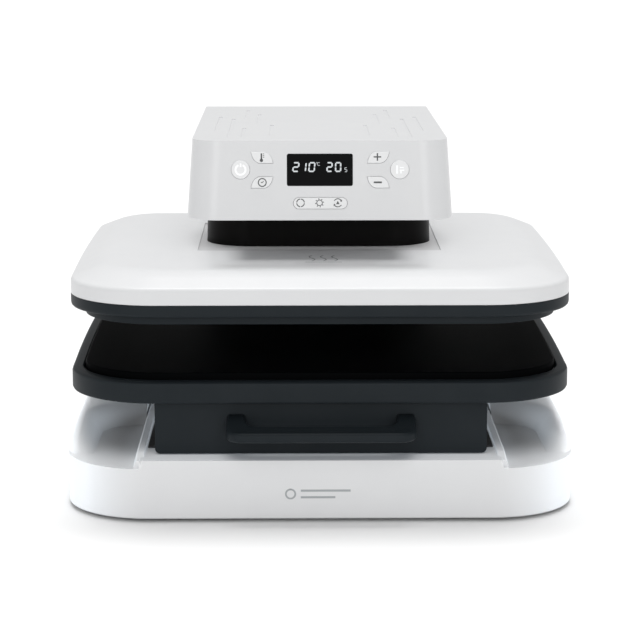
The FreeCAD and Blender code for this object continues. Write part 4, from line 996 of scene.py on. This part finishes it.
def build_display():
    """Dark lens with a round-cornered rim, and the lit readout of temperature and time on it."""
    edge, face = 0.35 * MM, -0.1 * MM
    steps = [(0.0, -1.9 * MM), (0.0, face - edge), (-edge * 0.3, face - edge * 0.3), (-edge, face)]
    lens = to_object(loft(rings_from(lens_outline, steps)), "display_window")
    dress(on_panel(lens), "base", "display_lens", stands_for=("display_lens",))

    y, height, stroke = up_panel(290.6 * MM), 8.7 * MM, 1.25 * MM
    strokes = []
    for digit, x, width in (("2", -24.4, 5.9), ("1", -17.2, 4.9), ("0", -10.6, 5.9)):
        strokes += digit_strokes(digit, x * MM, y, width * MM, height, stroke, 0.10)
    for digit, x, width in (("2", 5.3, 5.5), ("0", 12.7, 5.6)):
        strokes += digit_strokes(digit, x * MM, y, width * MM, height, stroke, 0.02)
    strokes += digit_strokes("5", 21.0 * MM, y, 2.3 * MM, 4.0 * MM, 0.45 * MM, 0.05)
    unit_x, unit_y = -1.1 * MM, y + 6.9 * MM
    strokes += ring_strokes(-2.9 * MM, y + 8.1 * MM, 0.5 * MM, 0.2 * MM, 4, 0)
    strokes.append(arc_stroke(unit_x, unit_y, 1.3 * MM, 0.35 * MM, 55, 305, 20))
    raised_mark("display_readout", "base", "display_glow", "display_glow", strokes, -0.12 * MM, -0.05 * MM)


def build_badge():
    """Plain ring beside two bars, printed on the front of the base."""
    front = corners("base_shell")[0].y
    middle = 24.8 * MM
    strokes = ring_strokes(-26.2 * MM, middle, 4.0 * MM, 1.5 * MM, 4, 0)
    for rise, reach in ((2.9 * MM, 25 * MM), (-2.9 * MM, 12 * MM)):
        strokes.append(bar(-17.5 * MM, middle + rise, reach, middle + rise, 1.9 * MM))

    def on_front(piece):
        piece.data.transform(Matrix.Translation((0, front, 0)) @ Matrix.Rotation(math.pi / 2, 4, "X"))
        return piece

    raised_mark("badge", "base", "charcoal_plastic", "badge_grey", strokes, -0.1 * MM, 0.04 * MM, on_front)


def build_heat_mark():
    """Three rising waves over a bar, printed on the cover in front of the neck."""
    top = corners("platen_cover")[1].z
    half, sway, rise = 0.55 * MM, 2.4 * MM, 30 * MM
    strokes = [bar(-13 * MM, -151 * MM, 19 * MM, -151 * MM, 1.6 * MM)]
    for x in (-7 * MM, 3 * MM, 13 * MM):
        line = [(x + sway * math.sin(2 * math.pi * i / 18), -144 * MM + rise * i / 18) for i in range(19)]
        strokes += [[(x0 - half, y0), (x0 + half, y0), (x1 + half, y1), (x1 - half, y1)]
                    for (x0, y0), (x1, y1) in zip(line, line[1:])]

    def on_cover(piece):
        piece.data.transform(Matrix.Translation((0, 0, top)))
        return piece

    raised_mark("heat_mark", "platen", "charcoal_plastic", "heat_print", strokes, -0.1 * MM, 0.03 * MM,
                on_cover)


build_base()
build_platen_cover()
build_platen_rim()
build_heat_guard()
build_neck()
build_tray()
build_pad()
build_drawer_front()
build_handle()
build_head()
build_caps()
build_cap_marks()
build_display()
build_badge()
build_heat_mark()

# ---------------------------------------------------------------- carried-over CAD nodes
slot_of = {part["node"]: part["material_slot"] for part in frame["record"]["subparts"]}
for node, piece in frame["nodes"].items():
    piece.data.materials.clear()
    piece.data.materials.append(MATERIALS[slot_of[node]])

head_pieces = [piece for piece in bpy.context.scene.objects
               if piece.name.startswith(("head_housing", "head_bottom_cover"))]
link_light(overhead_sun, "blocker", "EXCLUDE", head_pieces)
light_base(bpy.data.objects["base_housing"], front_fills)
